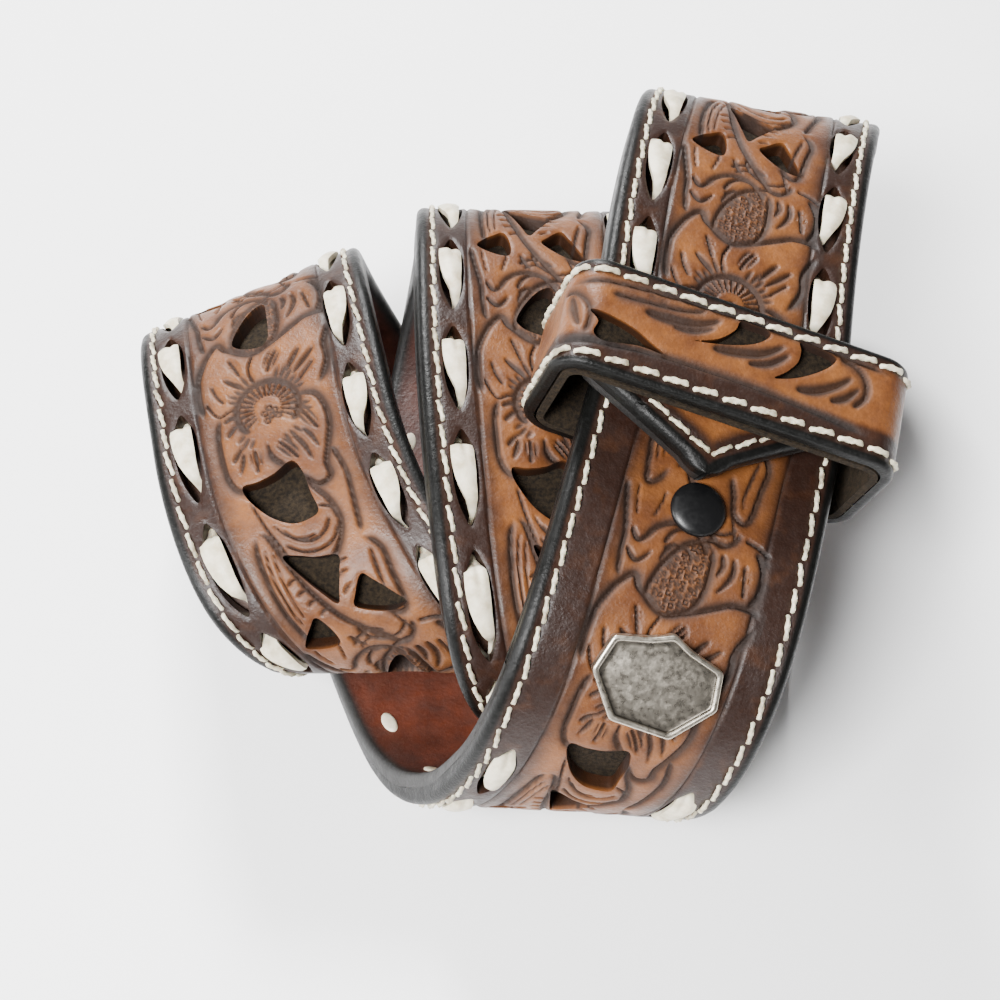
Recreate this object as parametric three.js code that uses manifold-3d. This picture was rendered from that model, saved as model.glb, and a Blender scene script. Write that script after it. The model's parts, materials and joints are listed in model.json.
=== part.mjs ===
// A western tooled leather belt, loosely rolled in three turns and lying on its back passes.
// Millimetres, +Z up. The origin is the middle of the footprint, on the surface the belt rests on.

import * as THREE from "three";
import { mergeVertices } from "three/addons/utils/BufferGeometryUtils.js";
import Module from "manifold-3d";

const wasm = await Module();
wasm.setup();

// Strap
const strapWidth = 38;
const faceThickness = 2.4;
const liningThickness = 2.1;
const layerGap = 0.3;
const recessGap = 0.5;
const tipLength = 11;

// The roll: the strap starts at the buckle fold and ends at the tip, counted in quarter turns
const rollStart = -0.36;
const rollEnd = 12.377;
const passFlattening = 0.07;

// How far the roll reaches: one pass beside another, a bend from the middle, and a pass in height
const passSpread = 50;
const bendReach = 100;
const passHeight = 50;

// Each row is one quarter turn. side: where the middle of the strap lies, left to right, as a share of
// passSpread. reach: how high a top or bottom pass lies, as a share of passHeight, or how far back or
// forward a bend comes, as a share of bendReach. tilt: degrees, the right edge higher on a pass or
// farther back on a bend.
const quarterTurns = [
  { turn: 0, name: "buckle pass on top", side: 0.62, reach: 1.14, tilt: -15 },
  { turn: 1, name: "outer front bend", side: 0.24, reach: -0.5, tilt: -4 },
  { turn: 2, name: "lowest back pass", side: -0.25, reach: 0, tilt: 0 },
  { turn: 3, name: "left rear bend", side: -0.79, reach: 0.395, tilt: 22 },
  { turn: 4, name: "left pass on top", side: -0.7, reach: 0.88, tilt: 12 },
  { turn: 5, name: "left front bend", side: -0.31, reach: -0.29, tilt: -1 },
  { turn: 6, name: "middle back pass", side: -0.05, reach: 0.24, tilt: -5 },
  { turn: 7, name: "middle rear bend", side: 0.09, reach: 0.52, tilt: 8 },
  { turn: 8, name: "middle pass on top", side: 0.14, reach: 0.978, tilt: -12.2 },
  { turn: 9, name: "inner front bend", side: 0.32, reach: -0.385, tilt: -4 },
  { turn: 10, name: "right back pass", side: 0.61, reach: 0.044, tilt: -6 },
  { turn: 11, name: "right rear bend", side: 0.89, reach: 0.66, tilt: -2 },
  { turn: 12, name: "tip pass on top", side: 0.67, reach: 1.296, tilt: -14 },
  { turn: 13, name: "run of the tip", side: 0.4, reach: -0.385, tilt: 0 },
];

// Where the leather bears on the surface it is pressed flat over this height
const restFlat = 0.35;

// Buckle end: the face leather folds back under itself and is held by a snap
const foldRadius = 3.1;
const foldFacets = 8;
const foldTaper = 8;
const foldEase = 25;
const flapLength = 68;
const flapGap = 0.4;

// Facets along the strap
const pathSamples = 2400;
const facetTurn = THREE.MathUtils.degToRad(14);
const facetTwist = THREE.MathUtils.degToRad(1.6);
const facetLength = 14;

// Buckstitch lace along both edges
const laceLine = 13.6;
const lacePitch = 17.7;
const laceFirst = 88;
const laceFromTip = 31;
const laceThickness = 0.8;
const laceHalfWidth = 1.5;
const laceNeckHalfWidth = 0.6;
const laceCrown = 3;
const laceDip = 6.6;
const laceInset = 0.2;
const slotHalfLength = 7;
const slotShoulder = 3.2;
const slotHalfWidth = 1.9;
const slotEndHalfWidth = 0.75;

// Suede inlay under the pierced floral work
const inlayThickness = 0.6;
const inlayHalfWidth = 11.2;
const recessHalfWidth = 16;
const inlayFromFlap = 3;
const inlayEnd = 704;

// Pierced gaps of one repeat of the floral pattern, measured from the middle of its flower.
// along and across place a gap in a repeat of the motif's own length; length and width are its size;
// turn is in degrees; point is the width left at its far end, as a share of its width.
const motifLength = 66.5;
const leafStartShare = 0.55;
const leafBellyShare = 0.1;
const motifGaps = [
  { name: "seed pod", along: -17.3, across: 0.2, length: 10.6, width: 5.6, turn: -26, point: 0.3 },
  { name: "below the flower", along: 15.2, across: -2.1, length: 9.6, width: 8.8, turn: 8, point: 0.5 },
  { name: "leaf corner", along: 28.2, across: -1.9, length: 8.4, width: 5.4, turn: -2, point: 0.2 },
  { name: "right scroll eye", along: 35.6, across: 3.3, length: 7.6, width: 4.6, turn: 12, point: 0.6 },
  { name: "left scroll eye", along: 37.8, across: -6.5, length: 8.6, width: 3.8, turn: 8, point: 0.3 },
];

// Where the middle of each flower lies along the strap. The pattern was laid out by hand, so it is
// a little longer in some repeats; the flowers between two rows are evenly spaced.
const flowerRows = [
  { flower: 0, along: 65.7 },
  { flower: 3, along: 261 },
  { flower: 6, along: 465 },
  { flower: 10, along: 728.5 },
];

// Keeper: a loop round the tip and the buckle end
const keeperAlong = 740;
const keeperWidth = 17.5;
const keeperFaceThickness = 1.7;
const keeperLiningThickness = 1.1;
const keeperClearance = 0.5;
const keeperCorner = 5;
const keeperTurn = THREE.MathUtils.degToRad(4);
const keeperSlack = 0.4;
const keeperCornerFacets = 5;
const keeperGaps = [
  { along: -9.5, across: 1.2, length: 10, width: 3.4, turn: 24, point: 0.25 },
  { along: 3.5, across: 2.4, length: 8.5, width: 3.2, turn: 20, point: 0.25 },
  { along: 12.5, across: -0.4, length: 9, width: 3.4, turn: 22, point: 0.25 },
];

// Snap that holds the fold
const snapAlong = 38.9;
const snapCapRadius = 4;
const snapCapHeight = 1.6;
const snapPostRadius = 1.3;
const snapTailRadius = 3.2;
const snapTailThickness = 0.8;
const postHoleClearance = 0.55;
const seatGap = 0.3;
const domeSteps = 4;
const turnedSides = 16;
const studSides = 10;

// Silver plate on the buckle pass
const plateFromFlapEnd = 4.5;
const plateAcross = 1;
const plateLength = 18.6;
const plateHeight = 14.2;
const plateThickness = 1.2;
const plateRim = 0.9;
const plateRimHeight = 0.55;
const plateTurn = THREE.MathUtils.degToRad(-2);
const plateStudRadius = 1.2;

// Finishes
const leatherFace = { color: 0x6f4023, roughness: 0.42, metalness: 0 };
const leatherLining = { color: 0x7a3a1a, roughness: 0.62, metalness: 0 };
const darkSuede = { color: 0x33271d, roughness: 0.95, metalness: 0 };
const creamLace = { color: 0xe6dfca, roughness: 0.5, metalness: 0 };
const blackSnap = { color: 0x17181a, roughness: 0.35, metalness: 0.4 };
const antiqueSilver = { color: 0xa9a49c, roughness: 0.34, metalness: 0.9 };

const totalThickness = faceThickness + layerGap + liningThickness;
const plateAlong = flapLength - plateFromFlapEnd;
const inlayStart = flapLength + inlayFromFlap;
const lacedDepth = faceThickness + layerGap;
const recessFloor = lacedDepth + Math.max(laceThickness, inlayThickness) + recessGap;
const flapDepth = 2 * faceThickness + flapGap;

// Smooth passage through table values, with even slopes at the rows
function throughRows(rows, key, turn) {
  let index = 0;
  while (index < rows.length - 2 && turn >= rows[index + 1].turn) {
    index += 1;
  }
  const slope = (i) => {
    const before = rows[Math.max(i - 1, 0)];
    const after = rows[Math.min(i + 1, rows.length - 1)];
    return (after[key] - before[key]) / (after.turn - before.turn);
  };
  const from = rows[index];
  const to = rows[index + 1];
  const span = to.turn - from.turn;
  const u = (turn - from.turn) / span;
  return (
    (1 + 2 * u) * (1 - u) ** 2 * from[key] +
    u * (1 - u) ** 2 * span * slope(index) +
    u * u * (3 - 2 * u) * to[key] +
    u * u * (u - 1) * span * slope(index + 1)
  );
}

// Swing from one extreme to the next and back; flattening lengthens the time spent near them
function swing(rows, turn, flattening) {
  const first = rows[0];
  const last = rows[rows.length - 1];
  let from = rows.findLast((row) => row.turn <= turn);
  let to = rows.find((row) => row.turn > turn);
  let start = from ? from.turn : first.turn - 2;
  if (!from) {
    from = rows[1];
    to = first;
  }
  if (!to) {
    to = rows[rows.length - 2];
    start = last.turn;
  }
  const angle = (Math.PI * (turn - start)) / 2;
  const share = (Math.cos(angle) - flattening * Math.cos(3 * angle)) / (1 - flattening);
  return (from.reach + to.reach) / 2 + ((from.reach - to.reach) / 2) * share;
}

const passes = quarterTurns.filter((row) => row.turn % 2 === 0);
const bends = quarterTurns.filter((row) => row.turn % 2 === 1);
const firstBend = bends[0].turn;
const lastBend = bends[bends.length - 2].turn;

function rollPoint(turn) {
  return new THREE.Vector3(
    passSpread * throughRows(quarterTurns, "side", turn),
    bendReach * swing(bends, turn, 0),
    passHeight * swing(passes, turn, passFlattening),
  );
}

// Direction from the left edge of the strap to its right edge, before squaring to its run
function rulingDirection(turn) {
  const roll = THREE.MathUtils.degToRad(throughRows(passes, "tilt", turn));
  const bendTurn = THREE.MathUtils.clamp(turn, firstBend, lastBend);
  const yaw = THREE.MathUtils.degToRad(throughRows(bends, "tilt", bendTurn));
  return new THREE.Vector3(
    Math.cos(roll) * Math.cos(yaw),
    Math.cos(roll) * Math.sin(yaw),
    Math.sin(roll),
  );
}

// Frames along the roll: point on the middle of the face, run, across and outward directions.
// Leather bends along straight rulings; side is the ruling for each millimetre across, and slant is
// how far along the strap it moves in that millimetre.
function rollFrames() {
  const frames = [];
  let along = 0;
  for (let i = 0; i <= pathSamples; i += 1) {
    const turn = rollStart + ((rollEnd - rollStart) * i) / pathSamples;
    const step = (rollEnd - rollStart) / pathSamples;
    const point = rollPoint(turn);
    if (i > 0) {
      along += point.distanceTo(frames[i - 1].point);
    }
    const run = rollPoint(turn + step).sub(rollPoint(turn - step)).normalize();
    const ruling = rulingDirection(turn);
    const lean = ruling.dot(run);
    const across = ruling.clone().addScaledVector(run, -lean).normalize();
    const outward = new THREE.Vector3().crossVectors(run, across);
    const eased = THREE.MathUtils.smoothstep(along, 0, foldEase);
    const slant = (eased * lean) / ruling.dot(across);
    const side = across.clone().addScaledVector(run, slant);
    frames.push({ along, point, run, across, outward, slant, side });
  }
  return frames;
}

const fineFrames = rollFrames();
const strapLength = fineFrames[fineFrames.length - 1].along;

// Sections are set closer where the strap bends
function pickSections(frames) {
  const picked = [frames[0]];
  for (const frame of frames) {
    const last = picked[picked.length - 1];
    const turned = frame.outward.angleTo(last.outward);
    const twisted = Math.abs(frame.side.clone().normalize().dot(last.outward));
    const long = frame.along - last.along > facetLength;
    if (turned > facetTurn || twisted > facetTwist || long) {
      picked.push(frame);
    }
  }
  const end = frames[frames.length - 1];
  if (end.along - picked[picked.length - 1].along < facetLength / 5) {
    picked.pop();
  }
  picked.push(end);
  return picked;
}

const rollSections = pickSections(fineFrames);

// Gap between the fold and the pass above it, closing to the flap gap past the taper
function flapDrop(distance) {
  const share = THREE.MathUtils.smoothstep(distance, 0, foldTaper);
  return THREE.MathUtils.lerp(2 * foldRadius, flapDepth, share);
}

function foldSections() {
  const start = fineFrames[0];
  const sections = [];
  for (let i = foldFacets; i > 0; i -= 1) {
    const angle = (Math.PI * i) / foldFacets;
    sections.push({
      along: -foldRadius * angle,
      point: start.point
        .clone()
        .addScaledVector(start.run, -foldRadius * Math.sin(angle))
        .addScaledVector(start.outward, -foldRadius * (1 - Math.cos(angle))),
      side: start.side,
      slant: 0,
      outward: start.outward
        .clone()
        .multiplyScalar(Math.cos(angle))
        .addScaledVector(start.run, -Math.sin(angle)),
    });
  }
  return sections;
}

const foldLength = Math.PI * foldRadius;

function flapSections() {
  const sections = [];
  const marks = rollSections.map((frame) => frame.along).filter((mark) => mark > 0);
  const taperMark = foldTaper / 2;
  const beyond = flapLength + facetLength;
  const places = [taperMark, ...marks.filter((mark) => mark < beyond)];
  places.sort((a, b) => b - a);
  for (const place of places) {
    const frame = fineFrames.find((each) => each.along >= place);
    sections.push({
      along: -foldLength - place,
      point: frame.point.clone().addScaledVector(frame.outward, -flapDrop(place)),
      side: frame.side,
      slant: -frame.slant,
      outward: frame.outward.clone().negate(),
    });
  }
  return sections;
}

const sections = [...flapSections(), ...foldSections(), ...rollSections];
const flapEnd = -foldLength - flapLength;

// Where the ruling of a section stands along the strap at a distance across it
function rulingAt(section, across) {
  return section.along + (section.slant ?? 0) * across;
}

function sectionPoint(section, across, depth) {
  return section.point
    .clone()
    .addScaledVector(section.side, across)
    .addScaledVector(section.outward, -depth);
}

// Place on the strap: along its length, across from its middle, and depth below its face
function strapPlace(track, along, across, depth) {
  let index = 0;
  while (index < track.length - 2 && along > rulingAt(track[index + 1], across)) {
    index += 1;
  }
  const start = rulingAt(track[index], across);
  const share = (along - start) / (rulingAt(track[index + 1], across) - start);
  return sectionPoint(track[index], across, depth).lerp(
    sectionPoint(track[index + 1], across, depth),
    share,
  );
}

const lowestEdge = Math.min(
  ...sections.flatMap((section) =>
    [-1, 1].map((hand) => section.point.z + (hand * section.side.z * strapWidth) / 2),
  ),
);
const restLevel = lowestEdge + restFlat;

function pressedFlat(point) {
  point.z = Math.max(point.z, restLevel);
  return point;
}

// Closed solid from rings of points, each ring in the same order
function ringSolid(rings) {
  const size = rings[0].length;
  const count = rings.length;
  const triangles = [];
  for (let i = 0; i < count - 1; i += 1) {
    for (let k = 0; k < size; k += 1) {
      const after = (k + 1) % size;
      const a = i * size + k;
      const b = (i + 1) * size + k;
      const c = (i + 1) * size + after;
      const d = i * size + after;
      triangles.push(a, b, c, a, c, d);
    }
  }
  const base = (count - 1) * size;
  for (let k = 1; k < size - 1; k += 1) {
    triangles.push(0, k, k + 1);
    triangles.push(base, base + k + 1, base + k);
  }
  const geometry = new THREE.BufferGeometry().setFromPoints(rings.flat());
  geometry.setIndex(triangles);
  geometry.computeVertexNormals();
  return geometry;
}

// Flat pattern: outlines of [along, across] points, less the pieces cut out of it
function pattern(outlines, cuts) {
  const whole = new wasm.CrossSection(outlines, "NonZero");
  if (cuts.length === 0) {
    return whole;
  }
  return whole.subtract(new wasm.CrossSection(cuts, "NonZero"));
}

// Which way a loop of a flat pattern runs: over 0 for an outline, under 0 for a hole
function loopArea(loop) {
  return loop.reduce((sum, [x, y], i) => {
    const [nextX, nextY] = loop[(i + 1) % loop.length];
    return sum + (x * nextY - nextX * y) / 2;
  }, 0);
}

const sameSpot = 1e-4;
const sliverArea = 1e-5;

// Collects the triangles of one closed piece laid out flat and bent along a track
class BentPiece {
  constructor(track, finish) {
    this.track = track;
    this.finish = finish;
    this.points = [];
    this.triangles = [];
    this.known = new Map();
  }

  // The pattern in strips between rulings, each as loops of points marked with their ruling
  strips(flat) {
    const found = [];
    const reach = strapWidth;
    const box = flat.bounds();
    for (let i = 0; i < this.track.length - 1; i += 1) {
      const from = this.track[i];
      const to = this.track[i + 1];
      if (to.along + reach < box.min[0] || from.along - reach > box.max[0]) {
        continue;
      }
      const cell = new wasm.CrossSection([
        [
          [rulingAt(from, -reach), -reach],
          [rulingAt(to, -reach), -reach],
          [rulingAt(to, reach), reach],
          [rulingAt(from, reach), reach],
        ],
      ]);
      const parts = flat.intersect(cell).decompose();
      for (const part of parts.filter((each) => each.area() > sliverArea)) {
        const loops = part.toPolygons().map((loop) => loop.map((spot) => this.mark(i, spot)));
        found.push(loops);
      }
    }
    return found;
  }

  mark(index, [along, across]) {
    const start = rulingAt(this.track[index], across);
    const end = rulingAt(this.track[index + 1], across);
    let share = (along - start) / (end - start);
    if (Math.abs(share) * (end - start) < sameSpot) {
      share = 0;
    }
    if (Math.abs(1 - share) * (end - start) < sameSpot) {
      share = 1;
    }
    return { index, share, along, across };
  }

  corner(spot, depth) {
    const ruling = spot.share === 0 || spot.share === 1 ? spot.index + spot.share : null;
    const place = ruling === null ? `${spot.along.toFixed(3)}` : `ruling ${ruling}`;
    const key = `${place},${spot.across.toFixed(3)},${depth}`;
    if (!this.known.has(key)) {
      const point = sectionPoint(this.track[spot.index], spot.across, depth).lerp(
        sectionPoint(this.track[spot.index + 1], spot.across, depth),
        spot.share,
      );
      this.known.set(key, this.points.length);
      this.points.push(this.finish(point));
    }
    return this.known.get(key);
  }

  addTriangle(a, b, c) {
    if (a !== b && b !== c && c !== a) {
      this.triangles.push(a, b, c);
    }
  }

  surface(flat, depth, outward) {
    for (const loops of this.strips(flat)) {
      const area = (loop) => loopArea(loop.map(({ along, across }) => [along, across]));
      const outline = loops.find((loop) => area(loop) > 0);
      const holes = loops.filter((loop) => area(loop) < 0);
      const flatten = (loop) => loop.map(({ along, across }) => new THREE.Vector2(along, across));
      const faces = THREE.ShapeUtils.triangulateShape(flatten(outline), holes.map(flatten));
      const spots = [outline, ...holes].flat();
      for (const face of faces) {
        const [a, b, c] = face.map((k) => this.corner(spots[k], depth));
        if (outward) {
          this.addTriangle(a, b, c);
        } else {
          this.addTriangle(a, c, b);
        }
      }
    }
  }

  // Walls round a pattern, from its upper to its lower depth, facing out of the pattern
  walls(flat, upper, lower) {
    for (const loop of this.strips(flat).flat()) {
      loop.forEach((spot, i) => {
        const next = loop[(i + 1) % loop.length];
        const atStart = spot.share === 0 && next.share === 0;
        const atEnd = spot.share === 1 && next.share === 1;
        if (atStart || atEnd) {
          return;
        }
        const a = this.corner(spot, upper);
        const b = this.corner(next, upper);
        const c = this.corner(next, lower);
        const d = this.corner(spot, lower);
        this.addTriangle(a, d, c);
        this.addTriangle(a, c, b);
      });
    }
  }

  geometry() {
    const built = new THREE.BufferGeometry().setFromPoints(this.points);
    built.setIndex(this.triangles);
    built.computeVertexNormals();
    return built;
  }
}

// A plate of even thickness
function bentPlate(track, flat, top, bottom, finish) {
  const piece = new BentPiece(track, finish);
  piece.surface(flat, top, true);
  piece.surface(flat, bottom, false);
  piece.walls(flat, top, bottom);
  return piece.geometry();
}

function rectangle(from, to, halfWidth) {
  return [
    [from, -halfWidth],
    [to, -halfWidth],
    [to, halfWidth],
    [from, halfWidth],
  ];
}

function turnedOutline(points, along, across, degrees) {
  const angle = THREE.MathUtils.degToRad(degrees);
  return points.map(([x, y]) => [
    along + x * Math.cos(angle) - y * Math.sin(angle),
    across + x * Math.sin(angle) + y * Math.cos(angle),
  ]);
}

// Six-sided leaf, broad near its start and narrowing to its far end
function leafOutline(gap) {
  const half = gap.length / 2;
  const broad = gap.width / 2;
  const end = (gap.width * gap.point) / 2;
  const start = broad * leafStartShare;
  const belly = -half * leafBellyShare;
  return [
    [-half, -start],
    [belly, -broad],
    [half, -end],
    [half, end],
    [belly, broad],
    [-half, start],
  ];
}

function slotOutline(along, across) {
  const points = [
    [-slotHalfLength, -slotEndHalfWidth],
    [-slotShoulder, -slotHalfWidth],
    [slotShoulder, -slotHalfWidth],
    [slotHalfLength, -slotEndHalfWidth],
    [slotHalfLength, slotEndHalfWidth],
    [slotShoulder, slotHalfWidth],
    [-slotShoulder, slotHalfWidth],
    [-slotHalfLength, slotEndHalfWidth],
  ];
  return points.map(([x, y]) => [along + x, across + y]);
}

function roundOutline(along, across, radius) {
  return Array.from({ length: studSides }, (_, i) => {
    const angle = (2 * Math.PI * i) / studSides;
    return [along + radius * Math.cos(angle), across + radius * Math.sin(angle)];
  });
}

// Outline of the strap from a straight end to its chevron tip
function strapOutline(from) {
  const half = strapWidth / 2;
  const shoulder = strapLength - tipLength;
  return [
    [from, -half],
    [shoulder, -half],
    [strapLength, 0],
    [shoulder, half],
    [from, half],
  ];
}

const laceStitches = Math.floor((strapLength - laceFromTip - laceFirst) / lacePitch) + 1;
const laceStations = Array.from({ length: laceStitches }, (_, i) => laceFirst + i * lacePitch);

// Place along the strap of a count of repeats from the first flower
function flowerAlong(count) {
  const last = flowerRows.length - 2;
  const after = flowerRows.findIndex((row) => row.flower > count);
  const index = after < 0 ? last : Math.max(after - 1, 0);
  const from = flowerRows[index];
  const to = flowerRows[index + 1];
  const share = (count - from.flower) / (to.flower - from.flower);
  return THREE.MathUtils.lerp(from.along, to.along, share);
}

function floralGaps() {
  const gaps = [];
  const lastFlower = flowerRows[flowerRows.length - 1].flower;
  for (let flower = 0; flower <= lastFlower; flower += 1) {
    for (const gap of motifGaps) {
      const along = flowerAlong(flower + gap.along / motifLength);
      const clear = gap.length / 2 + layerGap;
      if (along - clear > inlayStart && along + clear < inlayEnd) {
        gaps.push(turnedOutline(leafOutline(gap), along, gap.across, gap.turn));
      }
    }
  }
  return gaps;
}

// A post passes through the buckle pass and through the flap folded under it
function postHoles(along, across, radius) {
  const flapAlong = -foldLength - along;
  return [along, flapAlong].map((place) =>
    roundOutline(place, across, radius + postHoleClearance),
  );
}

function strapFace() {
  const cuts = [
    ...floralGaps(),
    ...laceStations.flatMap((along) =>
      [-laceLine, laceLine].map((line) => slotOutline(along, line)),
    ),
    ...postHoles(snapAlong, 0, snapPostRadius),
    ...postHoles(plateAlong, plateAcross, plateStudRadius),
  ];
  const flat = pattern([strapOutline(flapEnd)], cuts);
  return bentPlate(sections, flat, 0, faceThickness, pressedFlat);
}

// The lining has a shallow recess for the inlay and the lacing
function strapLining() {
  const lacingEnd = laceStations[laceStitches - 1] + slotHalfLength;
  const recessEnd = Math.max(lacingEnd, inlayEnd) + layerGap;
  const outline = strapOutline(flapLength + layerGap);
  const recess = rectangle(inlayStart - layerGap, recessEnd, recessHalfWidth);
  const whole = pattern([outline], []);
  const floor = pattern([recess], []);
  const shoulders = pattern([outline], [recess]);
  const top = faceThickness + layerGap;
  const piece = new BentPiece(sections, pressedFlat);
  piece.surface(shoulders, top, true);
  piece.surface(floor, recessFloor, true);
  piece.walls(floor, recessFloor, top);
  piece.surface(whole, totalThickness, false);
  piece.walls(whole, top, totalThickness);
  return piece.geometry();
}

function strapInlay() {
  const top = faceThickness + layerGap;
  const flat = pattern([rectangle(inlayStart, inlayEnd, inlayHalfWidth)], []);
  return bentPlate(sections, flat, top, top + inlayThickness, pressedFlat);
}

// One lace runs the length of an edge: up in each slot, down under the bridge between slots
function lace(line) {
  const rings = [];
  const ring = (along, halfWidth, depth) => {
    const corners = [
      [-halfWidth, depth],
      [halfWidth, depth],
      [halfWidth, depth + laceThickness],
      [-halfWidth, depth + laceThickness],
    ];
    rings.push(corners.map(([aside, below]) => lacePoint(along, line + aside, below)));
  };
  for (const station of laceStations) {
    ring(station - laceDip, laceNeckHalfWidth, lacedDepth);
    ring(station - laceCrown, laceHalfWidth, laceInset);
    ring(station + laceCrown, laceHalfWidth, laceInset);
    ring(station + laceDip, laceNeckHalfWidth, lacedDepth);
  }
  return ringSolid(rings);
}

function lacePoint(along, across, depth) {
  return pressedFlat(strapPlace(sections, along, across, depth));
}

// Keeper frame: set on the tip pass and turned a little between the two straps it holds
function keeperFrame() {
  const on = fineFrames.find((frame) => frame.along >= keeperAlong);
  const outward = on.outward.clone();
  const run = on.run.clone().applyAxisAngle(outward, -keeperTurn);
  const across = new THREE.Vector3().crossVectors(outward, run);
  return { point: on.point.clone(), run, across, outward };
}

const keeperAt = keeperFrame();

// Room the keeper needs: how far the tip pass and the folded buckle end reach inside it
function keeperRoom() {
  const room = { left: 0, right: 0, up: 0, down: 0 };
  for (const frame of fineFrames) {
    const buckleEnd = frame.along < flapLength;
    const tipEnd = frame.along > strapLength - flapLength;
    const lowest = buckleEnd ? flapDrop(frame.along) : totalThickness;
    for (const across of [-strapWidth / 2, 0, strapWidth / 2]) {
      for (const depth of [0, lowest]) {
        const corner = frame.point
          .clone()
          .addScaledVector(frame.across, across)
          .addScaledVector(frame.outward, -depth)
          .sub(keeperAt.point);
        const inside = Math.abs(corner.dot(keeperAt.run)) < keeperWidth / 2 + facetLength / 2;
        if (inside && (buckleEnd || tipEnd)) {
          room.left = Math.max(room.left, -corner.dot(keeperAt.across));
          room.right = Math.max(room.right, corner.dot(keeperAt.across));
          room.up = Math.max(room.up, corner.dot(keeperAt.outward));
          room.down = Math.max(room.down, -corner.dot(keeperAt.outward));
        }
      }
    }
  }
  return room;
}

const room = keeperRoom();
const keeperThickness = keeperFaceThickness + layerGap + keeperLiningThickness;

// Track round the keeper: a rounded rectangle, starting under the straps
function keeperTrack() {
  const reach = keeperClearance + keeperThickness;
  const left = -(room.left + reach + keeperSlack);
  const right = room.right + reach;
  const up = room.up + reach;
  const down = -(room.down + reach);
  const corners = [
    { aside: left + keeperCorner, height: down + keeperCorner, from: 270 },
    { aside: left + keeperCorner, height: up - keeperCorner, from: 180 },
    { aside: right - keeperCorner, height: up - keeperCorner, from: 90 },
    { aside: right - keeperCorner, height: down + keeperCorner, from: 0 },
  ];
  const track = [];
  let along = 0;
  const add = (aside, height, angle) => {
    const outward = keeperAt.across
      .clone()
      .multiplyScalar(Math.cos(angle))
      .addScaledVector(keeperAt.outward, Math.sin(angle));
    const point = keeperAt.point
      .clone()
      .addScaledVector(keeperAt.across, aside)
      .addScaledVector(keeperAt.outward, height);
    if (track.length > 0) {
      along += point.distanceTo(track[track.length - 1].point);
    }
    track.push({ along, point, side: keeperAt.run.clone().negate(), slant: 0, outward });
  };
  add((left + right) / 2, down, THREE.MathUtils.degToRad(270));
  for (const corner of corners) {
    for (let i = 0; i <= keeperCornerFacets; i += 1) {
      const angle = THREE.MathUtils.degToRad(corner.from - (90 * i) / keeperCornerFacets);
      add(
        corner.aside + keeperCorner * Math.cos(angle),
        corner.height + keeperCorner * Math.sin(angle),
        angle,
      );
    }
  }
  add((left + right) / 2, down, THREE.MathUtils.degToRad(270));
  return track;
}

const keeperLoop = keeperTrack();
const keeperGirth = keeperLoop[keeperLoop.length - 1].along;

const keeperFlat = [rectangle(0, keeperGirth, keeperWidth / 2)];

// The loop is closed, so its two ends carry no walls and their corners meet
function keeperRing(cuts, top, bottom) {
  return bentPlate(keeperLoop, pattern(keeperFlat, cuts), top, bottom, (point) => point);
}

function keeperFace() {
  const frontMiddle = keeperGirth / 2;
  const cuts = keeperGaps.map((gap) =>
    turnedOutline(leafOutline(gap), frontMiddle + gap.along, gap.across, gap.turn),
  );
  return keeperRing(cuts, 0, keeperFaceThickness);
}

function keeperLining() {
  return keeperRing([], keeperFaceThickness + layerGap, keeperThickness);
}

// Solid from a three.js geometry, ready to join or cut
function solidOf(geometry) {
  const plain = geometry.clone();
  plain.deleteAttribute("normal");
  plain.deleteAttribute("uv");
  const merged = mergeVertices(plain, 1e-4);
  const mesh = new wasm.Mesh({
    numProp: 3,
    vertProperties: Float32Array.from(merged.attributes.position.array),
    triVerts: Uint32Array.from(merged.index.array),
  });
  return new wasm.Manifold(mesh);
}

function geometryOf(solid) {
  const mesh = solid.getMesh();
  const geometry = new THREE.BufferGeometry();
  const count = mesh.numVert;
  const positions = new Float32Array(count * 3);
  for (let i = 0; i < count; i += 1) {
    for (let axis = 0; axis < 3; axis += 1) {
      positions[i * 3 + axis] = mesh.vertProperties[i * mesh.numProp + axis];
    }
  }
  geometry.setAttribute("position", new THREE.BufferAttribute(positions, 3));
  geometry.setIndex(Array.from(mesh.triVerts));
  geometry.computeVertexNormals();
  return geometry;
}

// Turned part whose axis is +Y in its own frame, from [radius, height] points on the axis
function turned(profile, sides) {
  return new THREE.LatheGeometry(
    profile.map(([radius, height]) => new THREE.Vector2(radius, height)),
    sides,
  );
}

// How far bent leather stands out past a frame, in a direction, under a flat part of a given size
function standOut(frame, middle, halfAlong, halfAcross, direction) {
  const shares = [-1, -0.5, 0, 0.5, 1];
  const heights = shares.flatMap((alongShare) =>
    shares.map((acrossShare) => {
      const along = middle + alongShare * halfAlong;
      const across = frame.aside + acrossShare * halfAcross;
      return strapPlace(sections, along, across, 0).sub(frame.point).dot(direction);
    }),
  );
  return Math.max(...heights);
}

function seatHeight(frame, halfAlong, halfAcross) {
  return standOut(frame, frame.along, halfAlong, halfAcross, frame.outward) + seatGap;
}

// Depth of the flap's underside below a frame on the buckle pass
function flapUnderside(frame, radius) {
  const downward = frame.outward.clone().negate();
  return standOut(frame, -foldLength - frame.along, radius, radius, downward);
}

function frameOn(along, across) {
  const on = fineFrames.find((frame) => frame.along >= along);
  return {
    along,
    aside: across,
    point: strapPlace(sections, along, across, 0),
    run: on.run,
    across: on.across,
    outward: on.outward,
  };
}

function placed(mesh, frame, height, turn) {
  const basis = new THREE.Matrix4().makeBasis(frame.across, frame.outward, frame.run);
  mesh.quaternion.setFromRotationMatrix(basis);
  mesh.rotateY(turn);
  mesh.position.copy(frame.point).addScaledVector(frame.outward, height);
  return mesh;
}

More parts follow.
